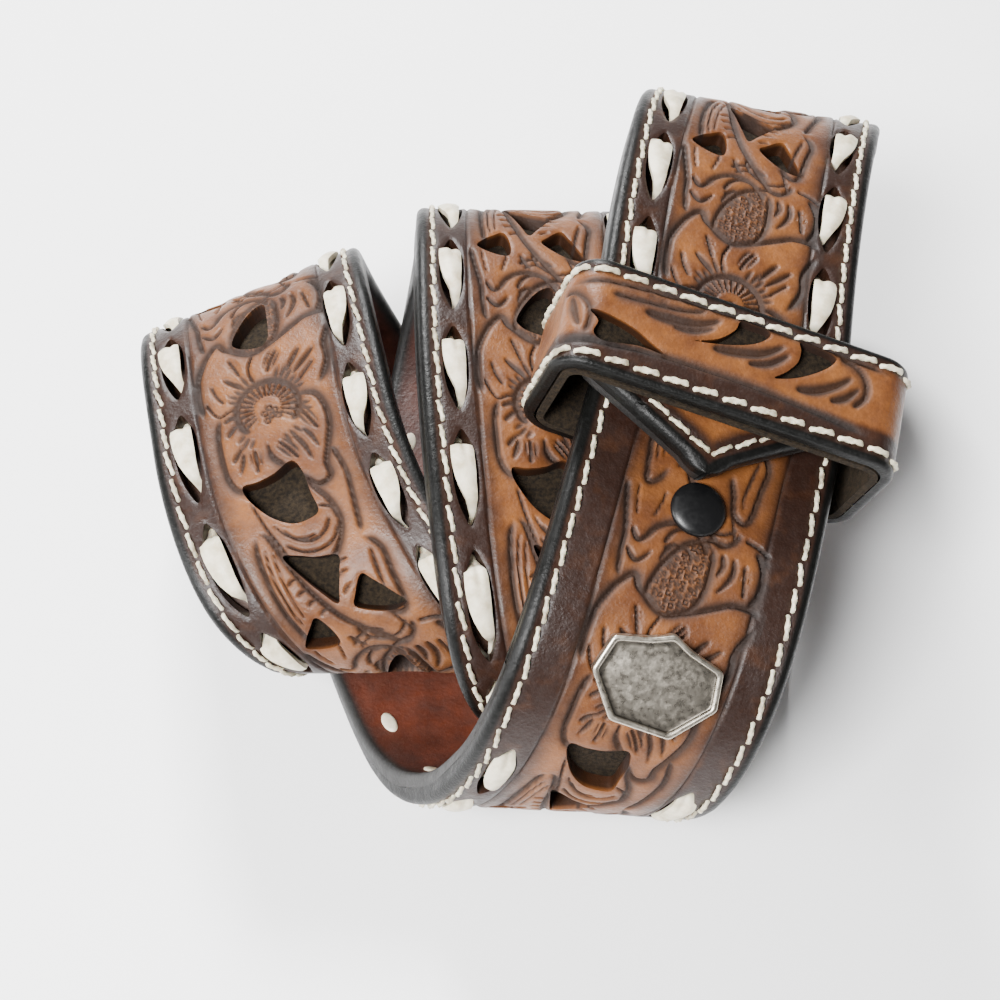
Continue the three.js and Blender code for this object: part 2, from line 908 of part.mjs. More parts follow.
function snapGeometry(frame, seat) {
  const tailTop = -(seat + flapUnderside(frame, snapTailRadius) + seatGap);
  const dome = Array.from({ length: domeSteps + 1 }, (_, i) => {
    const angle = (Math.PI / 2) * (1 - i / domeSteps);
    return [snapCapRadius * Math.sin(angle), snapCapHeight * (0.25 + 0.75 * Math.cos(angle))];
  });
  return turned(
    [
      [0, tailTop - snapTailThickness],
      [snapTailRadius, tailTop - snapTailThickness],
      [snapTailRadius, tailTop],
      [snapPostRadius, tailTop],
      [snapPostRadius, 0],
      [snapCapRadius, 0],
      ...dome,
    ],
    turnedSides,
  );
}

// Six-sided plate with a low arch on top; [across, up] as shares of its length and height
const plateOutline = [
  [-0.5, -0.08],
  [-0.44, 0.3],
  [-0.16, 0.4],
  [0, 0.5],
  [0.16, 0.4],
  [0.44, 0.3],
  [0.5, -0.08],
  [0.24, -0.5],
  [-0.24, -0.5],
];

function plateShape(inset) {
  const shape = new THREE.Shape();
  plateOutline.forEach(([x, y], i) => {
    const across = x * (plateLength - 2 * inset);
    const up = y * (plateHeight - 2 * inset);
    if (i === 0) {
      shape.moveTo(across, up);
    } else {
      shape.lineTo(across, up);
    }
  });
  return shape;
}

function plateGeometry(seat) {
  const base = new THREE.ExtrudeGeometry(plateShape(0), {
    depth: plateThickness,
    bevelEnabled: false,
  });
  const rimShape = plateShape(0);
  rimShape.holes.push(new THREE.Path(plateShape(plateRim).getPoints().reverse()));
  const rimSink = plateThickness / 2;
  const rim = new THREE.ExtrudeGeometry(rimShape, {
    depth: plateRimHeight + rimSink,
    bevelEnabled: false,
  });
  rim.translate(0, 0, plateThickness - rimSink);
  const studLength = seat + flapDepth;
  const stud = new THREE.CylinderGeometry(
    plateStudRadius,
    plateStudRadius,
    studLength + rimSink,
    studSides,
  );
  stud.rotateX(Math.PI / 2);
  stud.translate(0, 0, rimSink / 2 - studLength / 2);
  const joined = solidOf(base).add(solidOf(rim)).add(solidOf(stud));
  const geometry = geometryOf(joined);
  geometry.rotateX(-Math.PI / 2);
  return geometry;
}

function namedMesh(name, geometry, finish) {
  const mesh = new THREE.Mesh(geometry, new THREE.MeshStandardMaterial(finish));
  mesh.name = name;
  return mesh;
}

const strap = new THREE.Group();
strap.add(namedMesh("strap_face", strapFace(), leatherFace));
strap.add(namedMesh("strap_lining", strapLining(), leatherLining));
strap.add(namedMesh("strap_inlay", strapInlay(), darkSuede));
strap.add(namedMesh("left_lace", lace(-laceLine), creamLace));
strap.add(namedMesh("right_lace", lace(laceLine), creamLace));

const keeper = new THREE.Group();
keeper.add(namedMesh("keeper_face", keeperFace(), leatherFace));
keeper.add(namedMesh("keeper_lining", keeperLining(), darkSuede));

const snapFrame = frameOn(snapAlong, 0);
const snapSeat = seatHeight(snapFrame, snapCapRadius, snapCapRadius);
const snap = namedMesh("snap_cap", snapGeometry(snapFrame, snapSeat), blackSnap);
placed(snap, snapFrame, snapSeat, 0);

const plateFrame = frameOn(plateAlong, plateAcross);
const plateSeat = seatHeight(plateFrame, plateHeight / 2, plateLength / 2);
const plate = namedMesh("concho_plate", plateGeometry(plateSeat), antiqueSilver);
placed(plate, plateFrame, plateSeat, plateTurn);

const belt = new THREE.Group();
belt.add(strap, keeper, snap, plate);
belt.updateMatrixWorld(true);
const bounds = new THREE.Box3().setFromObject(belt, true);
belt.position.set(
  -(bounds.min.x + bounds.max.x) / 2,
  -(bounds.min.y + bounds.max.y) / 2,
  -bounds.min.z,
);

const whole = new THREE.Group();
whole.name = "western_belt";
whole.add(belt);

export default whole;
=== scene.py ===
"""Looks of a western tooled leather belt, loosely rolled and lying on a pale floor.

The belt is drawn flat, along and across the strap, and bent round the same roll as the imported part.
Sizes are in millimetres until a mesh is made, and then in metres.
"""

import json
import logging
import math
from collections.abc import Callable
from dataclasses import dataclass, field
from enum import Enum

import bpy
import numpy as np
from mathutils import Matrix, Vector

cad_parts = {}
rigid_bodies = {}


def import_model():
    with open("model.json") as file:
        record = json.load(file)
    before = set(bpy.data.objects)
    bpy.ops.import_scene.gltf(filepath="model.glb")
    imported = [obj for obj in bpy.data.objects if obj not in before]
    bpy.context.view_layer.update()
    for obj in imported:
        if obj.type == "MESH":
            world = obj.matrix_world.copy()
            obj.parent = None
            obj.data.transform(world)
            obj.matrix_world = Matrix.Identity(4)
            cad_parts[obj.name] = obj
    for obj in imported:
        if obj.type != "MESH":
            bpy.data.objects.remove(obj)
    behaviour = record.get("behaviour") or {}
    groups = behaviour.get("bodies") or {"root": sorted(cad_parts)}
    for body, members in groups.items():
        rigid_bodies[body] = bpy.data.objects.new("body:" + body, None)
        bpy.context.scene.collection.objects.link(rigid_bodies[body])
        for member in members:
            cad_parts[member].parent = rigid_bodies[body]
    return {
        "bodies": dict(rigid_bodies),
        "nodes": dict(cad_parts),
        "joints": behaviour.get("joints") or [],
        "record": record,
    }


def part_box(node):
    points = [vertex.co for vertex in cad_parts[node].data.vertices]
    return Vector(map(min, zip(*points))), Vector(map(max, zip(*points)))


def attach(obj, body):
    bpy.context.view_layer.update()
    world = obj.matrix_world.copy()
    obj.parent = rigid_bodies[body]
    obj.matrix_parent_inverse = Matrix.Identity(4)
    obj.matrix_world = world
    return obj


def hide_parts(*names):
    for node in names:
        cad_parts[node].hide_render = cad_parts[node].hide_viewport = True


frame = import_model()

log = logging.getLogger("belt")
Array = np.ndarray
MM = 0.001


class Tool(Enum):
    """Hand tools that mark the leather."""

    BEVEL_LEFT = "beveller, sinking the left of the cut"
    BEVEL_RIGHT = "beveller, sinking the right of the cut"
    GROOVE = "swivel knife"
    TEARDROP = "pear shader"
    COMB = "lined shader"


@dataclass(frozen=True)
class Stroke:
    """One stroke of the tooling: its tool, width, depth, and points along and across the strap."""

    tool: Tool
    width: float
    depth: float
    points: tuple[tuple[float, float], ...]
TOOLING: tuple[Stroke, ...] = (
    # flower, upper petals
    Stroke(Tool.BEVEL_LEFT, 1.1, 0.42, (
        (-1.5, -9.8), (-4, -10.1), (-6.9, -10.1), (-9.4, -9.8), (-12.3, -8.6), (-14, -7.6),
        (-15.4, -6.1), (-13.8, -5.1), (-12.3, -2.8), (-11.1, -0.8),
    )),
    Stroke(Tool.GROOVE, 0.45, 0.4, ((-11.1, -0.8), (-8.8, -1.8), (-6.9, -1.8), (-5.2, -1.3))),
    Stroke(Tool.BEVEL_LEFT, 1.1, 0.42, (
        (-11.1, -0.8), (-12.5, 2.9), (-14.4, 6.4), (-15.4, 8.4), (-15.4, 11.4), (-14, 12.9),
        (-11.5, 11.4), (-9, 10.4), (-5.7, 10.4), (-2.3, 8.9), (-1.5, 7.9),
    )),
    Stroke(Tool.COMB, 1.3, 0.34, ((-11.5, -4.8), (-9.6, -4.1), (-7.5, -3.4))),
    Stroke(Tool.TEARDROP, 0.75, 0.38, ((-7.9, -6.1), (-6.3, -4.6), (-4.3, -2.7))),
    Stroke(Tool.COMB, 1.1, 0.32, ((-7.3, -8.1), (-5.2, -7.6), (-3.1, -6.5))),
    Stroke(Tool.COMB, 1.8, 0.36, ((-10.7, 3), (-8.6, 1.7), (-6.6, 0.9))),
    Stroke(Tool.TEARDROP, 0.75, 0.38, ((-9.8, 6.7), (-7.7, 5.2), (-5.4, 3.7))),
    Stroke(Tool.TEARDROP, 0.75, 0.38, ((-9, 8.9), (-6.9, 6.9), (-4.7, 4.6))),
    Stroke(Tool.COMB, 1.2, 0.32, ((-6.4, 8.4), (-4.8, 6.9), (-3.4, 5.6))),
    # seed pod and the marks round it
    Stroke(Tool.BEVEL_LEFT, 0.9, 0.4, (
        (-23.5, 3.4), (-20.6, 4), (-16.4, 3.9), (-13.1, 2.7), (-11.3, -0.6), (-12.9, -3.6),
        (-15.2, -3.6), (-18.9, -2.3), (-22.3, 0.2), (-23.5, 3.4),
    )),
    Stroke(Tool.GROOVE, 0.7, 0.36, ((-21.1, -3.3), (-23.1, -2.5), (-24.3, -1.1), (-24.3, 0.9))),
    Stroke(Tool.GROOVE, 0.8, 0.4, ((-22.3, 0.2), (-23.7, 2.4), (-24, 4.7), (-23.6, 5.9))),
    Stroke(Tool.GROOVE, 0.5, 0.3, ((-23.6, 5.8), (-25, 6.3), (-26.8, 5.8), (-28.7, 5.2))),
    Stroke(Tool.TEARDROP, 0.7, 0.4, (
        (-22.3, -8.2), (-21.2, -7.7), (-20.5, -7), (-21.1, -6.1), (-23, -4.6),
    )),
    Stroke(Tool.TEARDROP, 0.7, 0.4, (
        (-19.2, -8.2), (-18.2, -7.6), (-17.5, -6.6), (-18.2, -5.6), (-19.7, -4.6),
    )),
    Stroke(Tool.TEARDROP, 0.65, 0.36, ((-21.9, -1.6), (-20, -2.8), (-18.3, -3.4))),
    Stroke(Tool.TEARDROP, 0.8, 0.36, ((-22.5, 5.2), (-20.6, 5.6), (-18.6, 4.9))),
    Stroke(Tool.TEARDROP, 0.8, 0.36, ((-22.5, 6.9), (-20.2, 7.3), (-18.3, 6.7), (-16.2, 5.3))),
    Stroke(Tool.COMB, 1.3, 0.34, ((-21.9, 8.7), (-19.4, 9.1), (-16.9, 9.5))),
    Stroke(Tool.GROOVE, 0.7, 0.36, ((-25.6, 7.8), (-25.1, 9.9), (-24, 12))),
    Stroke(Tool.BEVEL_LEFT, 1, 0.4, (
        (-24.4, 9.8), (-22.7, 10.9), (-20.6, 11.5), (-18.1, 11.4), (-15.6, 10.3),
    )),
    Stroke(Tool.GROOVE, 0.4, 0.25, (
        (-24, 11), (-22.1, 12.2), (-20, 12.6), (-17.7, 12.4), (-15.5, 11.4),
    )),
    Stroke(Tool.BEVEL_RIGHT, 0.9, 0.35, (
        (-28.9, -10.5), (-25.2, -9.8), (-21.4, -9), (-16.9, -8.7), (-14.3, -8.2),
    )),
    Stroke(Tool.GROOVE, 0.4, 0.25, ((-28.9, -8.8), (-26.4, -8.5), (-23.9, -8))),
    Stroke(Tool.GROOVE, 0.65, 0.34, ((-26.3, -2.8), (-27.5, -1.7), (-27.9, 0.8), (-26.7, 2.8))),
    Stroke(Tool.GROOVE, 0.45, 0.28, ((-25.6, -2.2), (-26.6, -0.5), (-26.3, 1.7))),
    Stroke(Tool.GROOVE, 0.45, 0.28, ((-28.9, -4.7), (-26.8, -5), (-24.4, -5.7))),
    # flower, lower petals
    Stroke(Tool.BEVEL_RIGHT, 1, 0.4, (
        (-0.8, -7.5), (2.2, -8.2), (6.2, -8.4), (9.7, -8.1), (11.6, -7), (12, -5), (11.7, -2),
        (10.3, 0.6),
    )),
    Stroke(Tool.GROOVE, 0.5, 0.36, (
        (-4.3, -9.4), (-2.1, -8.5), (-0.9, -7.5), (-1.4, -6), (-1.7, -4.1),
    )),
    Stroke(Tool.TEARDROP, 0.75, 0.34, ((0.5, -7.2), (-0.1, -5.8), (0.3, -4.1))),
    Stroke(Tool.TEARDROP, 0.7, 0.34, ((3.1, -7), (1.9, -5.8), (1.1, -4.5))),
    Stroke(Tool.TEARDROP, 0.7, 0.34, ((7.3, -6.9), (6.2, -6), (5.1, -4.8))),
    Stroke(Tool.GROOVE, 0.5, 0.38, ((10.3, 0.6), (8.9, -0.5), (7.2, -1.1), (5.8, -1.2))),
    Stroke(Tool.COMB, 1.6, 0.34, ((6.1, -3.3), (8.2, -3.4), (10.1, -3.7))),
    Stroke(Tool.TEARDROP, 0.7, 0.34, ((6.1, -5), (7.7, -5.5), (9.5, -6.3))),
    Stroke(Tool.BEVEL_RIGHT, 1.1, 0.42, (
        (5.8, -1.2), (8.2, -0.9), (10.4, 0.6), (12.9, 2.5), (14.9, 4), (15.3, 5.1), (14.6, 6.5),
        (12.4, 6.5), (9.7, 7.5), (6.2, 8.6), (3.2, 8.7), (0.3, 7.8), (-0.7, 6), (-0.8, 3.8),
    )),
    Stroke(Tool.COMB, 1.9, 0.36, ((6.1, 0.5), (7.9, 1.8), (10.1, 2.9))),
    Stroke(Tool.TEARDROP, 0.75, 0.36, ((5.5, 2.8), (8.2, 4.2), (11.4, 4.9))),
    Stroke(Tool.TEARDROP, 0.7, 0.34, ((5.1, 4.4), (6.9, 5.6), (9.6, 6.4))),
    Stroke(Tool.COMB, 1.8, 0.36, ((0.6, 4.2), (3.2, 5.6), (6.3, 7))),
    # rolled leaf under the flower
    Stroke(Tool.BEVEL_LEFT, 1, 0.4, (
        (12.4, 2.5), (15.7, 3.6), (18.2, 4.8), (21.7, 5.3), (24.7, 4), (26.6, 1.8), (25.8, -0.8),
        (24.3, -3.2),
    )),
    Stroke(Tool.GROOVE, 0.6, 0.34, (
        (19.6, -3.4), (21.9, -1.8), (23.1, 0.5), (22.4, 2.8), (20.6, 4.1),
    )),
    Stroke(Tool.GROOVE, 0.55, 0.32, (
        (21.7, -3.9), (23.9, -1.8), (24.8, 0.8), (24.2, 3.4), (22.3, 4.8),
    )),
    Stroke(Tool.GROOVE, 0.45, 0.26, ((18.3, -4.2), (20.7, -3), (22.2, -0.8), (22.4, 1.5))),
    Stroke(Tool.GROOVE, 0.6, 0.32, ((18.4, 2.9), (19.6, 4.8), (21.7, 5.1))),
    Stroke(Tool.GROOVE, 0.5, 0.34, ((13.7, -6.2), (17.7, -5.5), (21.7, -4.5), (24.2, -4))),
    # stems and leaves between the gaps
    Stroke(Tool.BEVEL_LEFT, 0.9, 0.38, ((9.7, 7.9), (14.7, 8.8), (19.7, 8.3), (25.4, 7.3))),
    Stroke(Tool.BEVEL_LEFT, 0.9, 0.38, (
        (25.7, 7.2), (28.7, 8.8), (32.7, 8.4), (38, 7.6), (37.7, 5.5), (34.7, 4.8), (31.4, 3.8),
    )),
    Stroke(Tool.TEARDROP, 0.6, 0.32, ((27.6, 7.5), (31.2, 6.8), (34.7, 6.3), (37, 6.6))),
    Stroke(Tool.BEVEL_LEFT, 0.9, 0.38, (
        (18.7, -7.2), (19.7, -5.8), (24.2, -4.8), (29.2, -3.8), (34.7, -1.8), (38.5, 0.6),
        (42.6, 4),
    )),
    Stroke(Tool.BEVEL_RIGHT, 0.9, 0.36, (
        (18.7, -7.2), (21.7, -8.1), (28.7, -8.6), (34.7, -8.2), (37, -7.7), (36, -6.2),
        (33.7, -5.2),
    )),
    Stroke(Tool.GROOVE, 0.4, 0.24, ((20.7, -6.7), (24.7, -7.4), (29.7, -7.6), (33.8, -7.2))),
    Stroke(Tool.GROOVE, 0.4, 0.24, ((21.7, -5.9), (25.7, -6.4), (29.7, -6.6), (32.8, -6.4))),
    Stroke(Tool.TEARDROP, 0.5, 0.28, ((27.3, -6.2), (26.8, -5.2), (27.1, -4.3))),
    Stroke(Tool.TEARDROP, 0.5, 0.28, ((29.3, -5.7), (28.9, -4.8), (29.2, -3.8))),
    Stroke(Tool.TEARDROP, 0.5, 0.28, ((31.3, -5.1), (30.8, -4.2), (31.1, -3.2))),
    Stroke(Tool.TEARDROP, 0.5, 0.28, ((33.4, -4.3), (32.8, -3.4), (33.1, -2.3))),
    Stroke(Tool.TEARDROP, 0.5, 0.28, ((32.3, 0.5), (31.6, 1.5), (31.4, 2.6))),
    Stroke(Tool.TEARDROP, 0.5, 0.28, ((29.8, 0.9), (29.2, 2), (29.3, 3.2))),
    Stroke(Tool.TEARDROP, 0.5, 0.28, ((28.1, 1.7), (27.6, 2.8), (27.8, 3.9))),
    # scroll at the end of the repeat
    Stroke(Tool.BEVEL_LEFT, 0.9, 0.38, (
        (45.7, -6), (43.7, -5), (42.2, -3.2), (41.7, -0.8), (43, 1.8), (45.2, 3),
    )),
    Stroke(Tool.GROOVE, 0.6, 0.34, ((46.2, -3.2), (45, -1.8), (45.1, 0.2), (46.7, 1.2))),
    Stroke(Tool.TEARDROP, 0.7, 0.34, ((37.8, -2.6), (39.7, -1.8), (40.9, -0.9))),
    Stroke(Tool.GROOVE, 0.6, 0.34, (
        (37.1, -0.8), (39.7, 0.2), (41.2, 2.5), (41, 4.8), (39.6, 6.6),
    )),
    Stroke(Tool.BEVEL_RIGHT, 0.8, 0.34, ((38.5, 0.6), (42.6, 4), (42, 6.2), (40.1, 7))),
)


@dataclass(frozen=True)
class QuarterTurn:
    """One quarter turn of the roll: side, reach and tilt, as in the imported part."""

    turn: int
    side: float
    reach: float
    tilt: float


QUARTER_TURNS: tuple[QuarterTurn, ...] = (
    QuarterTurn(0, 31, 57, -15),
    QuarterTurn(1, 12, -50, -4),
    QuarterTurn(2, -12.5, 0, 0),
    QuarterTurn(3, -39.5, 39.5, 22),
    QuarterTurn(4, -35, 44, 12),
    QuarterTurn(5, -15.5, -29, -1),
    QuarterTurn(6, -2.5, 12, -5),
    QuarterTurn(7, 4.5, 52, 8),
    QuarterTurn(8, 7, 48.9, -12.2),
    QuarterTurn(9, 16, -38.5, -4),
    QuarterTurn(10, 30.5, 2.2, -6),
    QuarterTurn(11, 44.5, 66, -2),
    QuarterTurn(12, 33.5, 64.8, -14),
    QuarterTurn(13, 20, -38.5, 0),
)


def smooth_share(values: Array, low: float, high: float) -> Array:
    """Share from 0 at low to 1 at high, with even ends.

    Args:
        values: The values to grade.
        low: Where the share is 0.
        high: Where the share is 1.

    Returns:
        The share of each value.
    """
    share = np.clip((values - low) / (high - low), 0, 1)
    return share * share * (3 - 2 * share)


def unit(vectors: Array) -> Array:
    """Vectors brought to length 1."""
    return vectors / np.linalg.norm(vectors, axis=-1, keepdims=True)


def smooth_line(points: Array, steps: int = 6, closed: bool = False) -> Array:
    """Smooth line through given points.

    Args:
        points: The points, one to a row.
        steps: Steps between two points.
        closed: Whether the line returns to its first point.

    Returns:
        The points of the smooth line.
    """
    count = len(points)
    spans = count if closed else count - 1
    picked = []
    for i in range(spans):
        at = [i - 1, i, i + 1, i + 2]
        p0, p1, p2, p3 = (
            points[k % count] if closed else points[min(max(k, 0), count - 1)] for k in at
        )
        for u in np.arange(steps) / steps:
            picked.append(
                0.5
                * (
                    2 * p1
                    + (p2 - p0) * u
                    + (2 * p0 - 5 * p1 + 4 * p2 - p3) * u**2
                    + (3 * p1 - p0 - 3 * p2 + p3) * u**3
                )
            )
    if not closed:
        picked.append(points[-1])
    return np.array(picked)


@dataclass
class Roll:
    """The path of the strap: its middle line and the way its leather faces, in millimetres."""

    start: float = -0.36
    end: float = 12.377
    samples: int = 2400
    flattening: float = 0.07
    fold_radius: float = 3.1
    fold_taper: float = 8
    fold_ease: float = 25
    flap_length: float = 68
    flap_depth: float = 5.2
    half_width: float = 19
    rest_flat: float = 0.35
    shift: Array = field(default_factory=lambda: np.zeros(3))

    def __post_init__(self) -> None:
        """Works out the frames along the roll, the fold and the flap."""
        turns = np.linspace(self.start, self.end, self.samples + 1)
        step = turns[1] - turns[0]
        point = self.points(turns)
        gaps = np.linalg.norm(np.diff(point, axis=0), axis=1)
        along = np.concatenate([[0.0], np.cumsum(gaps)])
        run = unit(self.points(turns + step) - self.points(turns - step))
        ruling = self.rulings(turns)
        lean = (ruling * run).sum(1)
        across = unit(ruling - run * lean[:, None])
        outward = np.cross(run, across)
        eased = smooth_share(along, 0, self.fold_ease)
        slant = eased * lean / (ruling * across).sum(1)
        side = across + run * slant[:, None]
        self.length = float(along[-1])
        self.fold_length = math.pi * self.fold_radius
        self.run, self.across, self.plain_outward, self.plain_point = run, across, outward, point
        self.plain_along = along
        self.add_fold(along, point, side, slant, outward, run)
        edges = self.point[:, 2:3] + np.array([-1, 1]) * self.side[:, 2:3] * self.half_width
        self.rest_level = float(edges.min()) + self.rest_flat

    def points(self, turns: Array) -> Array:
        """Points on the middle line at a count of quarter turns.

        Args:
            turns: Counts of quarter turns.

        Returns:
            The points, a row for each count.
        """
        even = [row for row in QUARTER_TURNS if row.turn % 2 == 0]
        odd = [row for row in QUARTER_TURNS if row.turn % 2 == 1]
        return np.stack(
            [
                self.through(QUARTER_TURNS, "side", turns),
                self.swing(odd, turns, 0.0),
                self.swing(even, turns, self.flattening),
            ],
            axis=1,
        )

    def rulings(self, turns: Array) -> Array:
        """Straight lines across the leather, from its left edge to its right edge.

        Args:
            turns: Counts of quarter turns.

        Returns:
            Unit ways, a row for each count.
        """
        even = [row for row in QUARTER_TURNS if row.turn % 2 == 0]
        odd = [row for row in QUARTER_TURNS if row.turn % 2 == 1]
        roll = np.radians(self.through(even, "tilt", turns))
        yaw = np.radians(self.through(odd, "tilt", np.clip(turns, 1, 11)))
        return np.stack(
            [np.cos(roll) * np.cos(yaw), np.cos(roll) * np.sin(yaw), np.sin(roll)], axis=1
        )

    @staticmethod
    def through(rows: list[QuarterTurn] | tuple[QuarterTurn, ...], key: str, turns: Array) -> Array:
        """Smooth passage through one column of the rows.

        Args:
            rows: The quarter turns to pass through.
            key: The column.
            turns: Where the values are wanted.

        Returns:
            The value at each turn.
        """
        at = np.array([row.turn for row in rows], float)
        value = np.array([getattr(row, key) for row in rows], float)
        last = len(rows) - 1
        before = np.maximum(np.arange(last + 1) - 1, 0)
        after = np.minimum(np.arange(last + 1) + 1, last)
        slope = (value[after] - value[before]) / (at[after] - at[before])
        index = np.clip(np.searchsorted(at, turns, side="right") - 1, 0, last - 1)
        span = at[index + 1] - at[index]
        u = (turns - at[index]) / span
        return (
            (1 + 2 * u) * (1 - u) ** 2 * value[index]
            + u * (1 - u) ** 2 * span * slope[index]
            + u * u * (3 - 2 * u) * value[index + 1]
            + u * u * (u - 1) * span * slope[index + 1]
        )

    @staticmethod
    def swing(rows: list[QuarterTurn], turns: Array, flattening: float) -> Array:
        """Swing from one reach to the next and back.

        Args:
            rows: The turns that hold the reaches.
            turns: Where the values are wanted.
            flattening: How much longer the leather stays near each reach.

        Returns:
            The value at each turn.
        """
        at = np.array([rows[0].turn - 2] + [row.turn for row in rows] + [rows[-1].turn + 2], float)
        reach = np.array([rows[1].reach] + [row.reach for row in rows] + [rows[-2].reach], float)
        index = np.clip(np.searchsorted(at, turns, side="right") - 1, 0, len(at) - 2)
        angle = math.pi * (turns - at[index]) / 2
        share = (np.cos(angle) - flattening * np.cos(3 * angle)) / (1 - flattening)
        start, stop = reach[index], reach[index + 1]
        return (start + stop) / 2 + (start - stop) / 2 * share

    def add_fold(
        self, along: Array, point: Array, side: Array, slant: Array, outward: Array, run: Array
    ) -> None:
        """Puts the fold and the flap before the roll.

        Args:
            along: Length along the strap from the fold.
            point: Middle line.
            side: Ruling for each millimetre across.
            slant: How far along the strap a ruling moves in that millimetre.
            outward: Way that the face looks.
            run: Way that the strap runs.
        """
        reach = along <= self.flap_length + 30
        back = np.flatnonzero(reach & (along > 0))[::-1]
        share = smooth_share(along[back], 0, self.fold_taper)
        drop = 2 * self.fold_radius + (self.flap_depth - 2 * self.fold_radius) * share
        angle = np.linspace(math.pi, 0, 40, endpoint=False)
        radius = self.fold_radius
        fold_point = (
            point[0]
            - radius * np.sin(angle)[:, None] * run[0]
            - radius * (1 - np.cos(angle))[:, None] * outward[0]
        )
        fold_outward = np.cos(angle)[:, None] * outward[0] - np.sin(angle)[:, None] * run[0]
        self.along = np.concatenate([-self.fold_length - along[back], -radius * angle, along])
        self.point = np.concatenate(
            [point[back] - outward[back] * drop[:, None], fold_point, point]
        )
        self.side = np.concatenate([side[back], np.repeat(side[:1], len(angle), 0), side])
        self.slant = np.concatenate([-slant[back], np.zeros(len(angle)), slant])
        self.outward = np.concatenate([-outward[back], fold_outward, outward])

    def ruling_of(self, along: Array, across: Array) -> Array:
        """Finds the ruling that passes through each place on the strap."""
        ruling = along.copy()
        for _ in range(14):
            ruling = 0.5 * ruling + 0.5 * (along - np.interp(ruling, self.along, self.slant) * across)
        return ruling

    def place(self, along: Array, across: Array, depth: Array | float) -> Array:
        """Places in space of places on the strap.

        Args:
            along: Lengths along the strap.
            across: Distances across from its middle.
            depth: Depths below the face.

        Returns:
            Points in millimetres, in the part's own frame.
        """
        along, across, depth = np.broadcast_arrays(
            np.asarray(along, float), np.asarray(across, float), np.asarray(depth, float)
        )
        ruling = self.ruling_of(along, across)
        point, side, outward = (
            np.stack([np.interp(ruling, self.along, table[:, k]) for k in range(3)], axis=-1)
            for table in (self.point, self.side, self.outward)
        )
        place = point + side * across[..., None] - unit(outward) * depth[..., None]
        place[..., 2] = np.maximum(place[..., 2], self.rest_level)
        return place + self.shift

    def settle(self) -> None:
        """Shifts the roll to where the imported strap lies."""
        low, high = (np.array(corner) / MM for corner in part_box("strap_face"))
        along = np.linspace(0, self.length, 1500)
        edges = np.concatenate(
            [self.place(along, np.full_like(along, hand * self.half_width), 0) for hand in (-1, 1)]
        )
        middle = (edges.min(0) + edges.max(0)) / 2
        self.shift = np.array([*((low + high) / 2 - middle)[:2], -self.rest_level])


ROLL = Roll()


@dataclass(frozen=True)
class Flower:
    """Where the middle of a flower lies along the strap."""

    flower: int
    along: float


FLOWERS = (Flower(0, 65.7), Flower(3, 261), Flower(6, 465), Flower(10, 728.5))
MOTIF_LENGTH = 66.5
# outlines of the pierced gaps of one repeat, along and across from the middle of its flower
GAPS = (
    ((-21.6, 1.5), (-20.4, -0.2), (-18, -2), (-15.2, -3.5), (-13.8, -3.6), (-12.5, -2), (-11.9, 0.6),
     (-13.1, 2), (-15.6, 2.4), (-19, 2.5), (-21.2, 2.4)),
    ((10.2, 1.6), (11.2, -1.4), (11.5, -4.2), (11.3, -6.4), (12.6, -6.7), (15, -5.7), (17.8, -3.9),
     (19.9, -1.4), (20.3, 1.2), (19.6, 2.9), (16.4, 2.8), (12.6, 2.7)),
    ((23.4, -4.9), (24.2, -2.8), (25.6, -0.6), (27, 2.6), (29.4, 1.6), (31.6, 0.3), (33.4, -1),
     (30.8, -2.3), (27, -3.8)),
    ((31, 4.2), (32.6, 5.4), (35.6, 7), (38, 8), (38.3, 6.2), (37.2, 3.6), (34.9, 1),
     (33.2, 2)),
    ((33.3, -5.3), (34.4, -4.5), (37, -4), (39, -4.4), (39, -6.6), (37.6, -9.4), (35.8, -8.4), (34.2, -6.6)),
)
KEEPER_GAPS = (
    ((-22.8, 0.1), (-19.5, 0), (-16, -0.8), (-13.5, -2), (-11.2, -3.3), (-15, -3.3), (-19.8, -4.3),
     (-21.6, -3.4), (-21.3, -1.5)),
    ((-1.4, 6.1), (0.8, 6.2), (3, 6.1), (2.9, 4.8), (0.8, 3), (-3, 1.5), (-7.4, 0.5), (-4.2, 2),
     (-2, 4.3)),
    ((7.7, 6.1), (10.5, 6.1), (13.2, 5.7), (12.9, 4.2), (11, 2.2), (8, 0.1), (4.8, -1.1),
     (6.4, 0.5), (7.8, 2.6), (8, 4.6)),
)


def gap_outline(gap: tuple[tuple[float, float], ...], along: float) -> Array:
    """Outline of a pierced gap, smoothed.

    Args:
        gap: Its given points.
        along: Where the middle of its pattern lies.

    Returns:
        Points of its edge, along and across.
    """
    points = smooth_line(np.array(gap, float), 5, closed=True)
    return points + np.array([along, 0.0])


def outline_distance(spots: Array, outline: Array) -> tuple[Array, Array]:
    """Distance of spots from a closed outline, under 0 inside it.

    Args:
        spots: The spots, one to a row.
        outline: The points of the outline.

    Returns:
        The distances, and the nearest point of the outline to each spot.
    """
    ahead = np.roll(outline, -1, 0)
    leg = ahead - outline
    offset = spots[:, None] - outline
    share = np.clip((offset * leg).sum(2) / (leg * leg).sum(1), 0, 1)
    near = outline + share[..., None] * leg
    apart = np.linalg.norm(spots[:, None] - near, axis=2)
    best = apart.argmin(1)
    index = np.arange(len(spots))
    x, y = spots[:, :1], spots[:, 1:]
    crosses = (outline[:, 1] > y) != (ahead[:, 1] > y)
    rise = np.where(leg[:, 1] == 0, 1e-9, leg[:, 1])
    left = x < leg[:, 0] * (y - outline[:, 1]) / rise + outline[:, 0]
    inside = (crosses & left).sum(1) % 2 == 1
    distance = apart[index, best]
    return np.where(inside, -distance, distance), near[index, best]


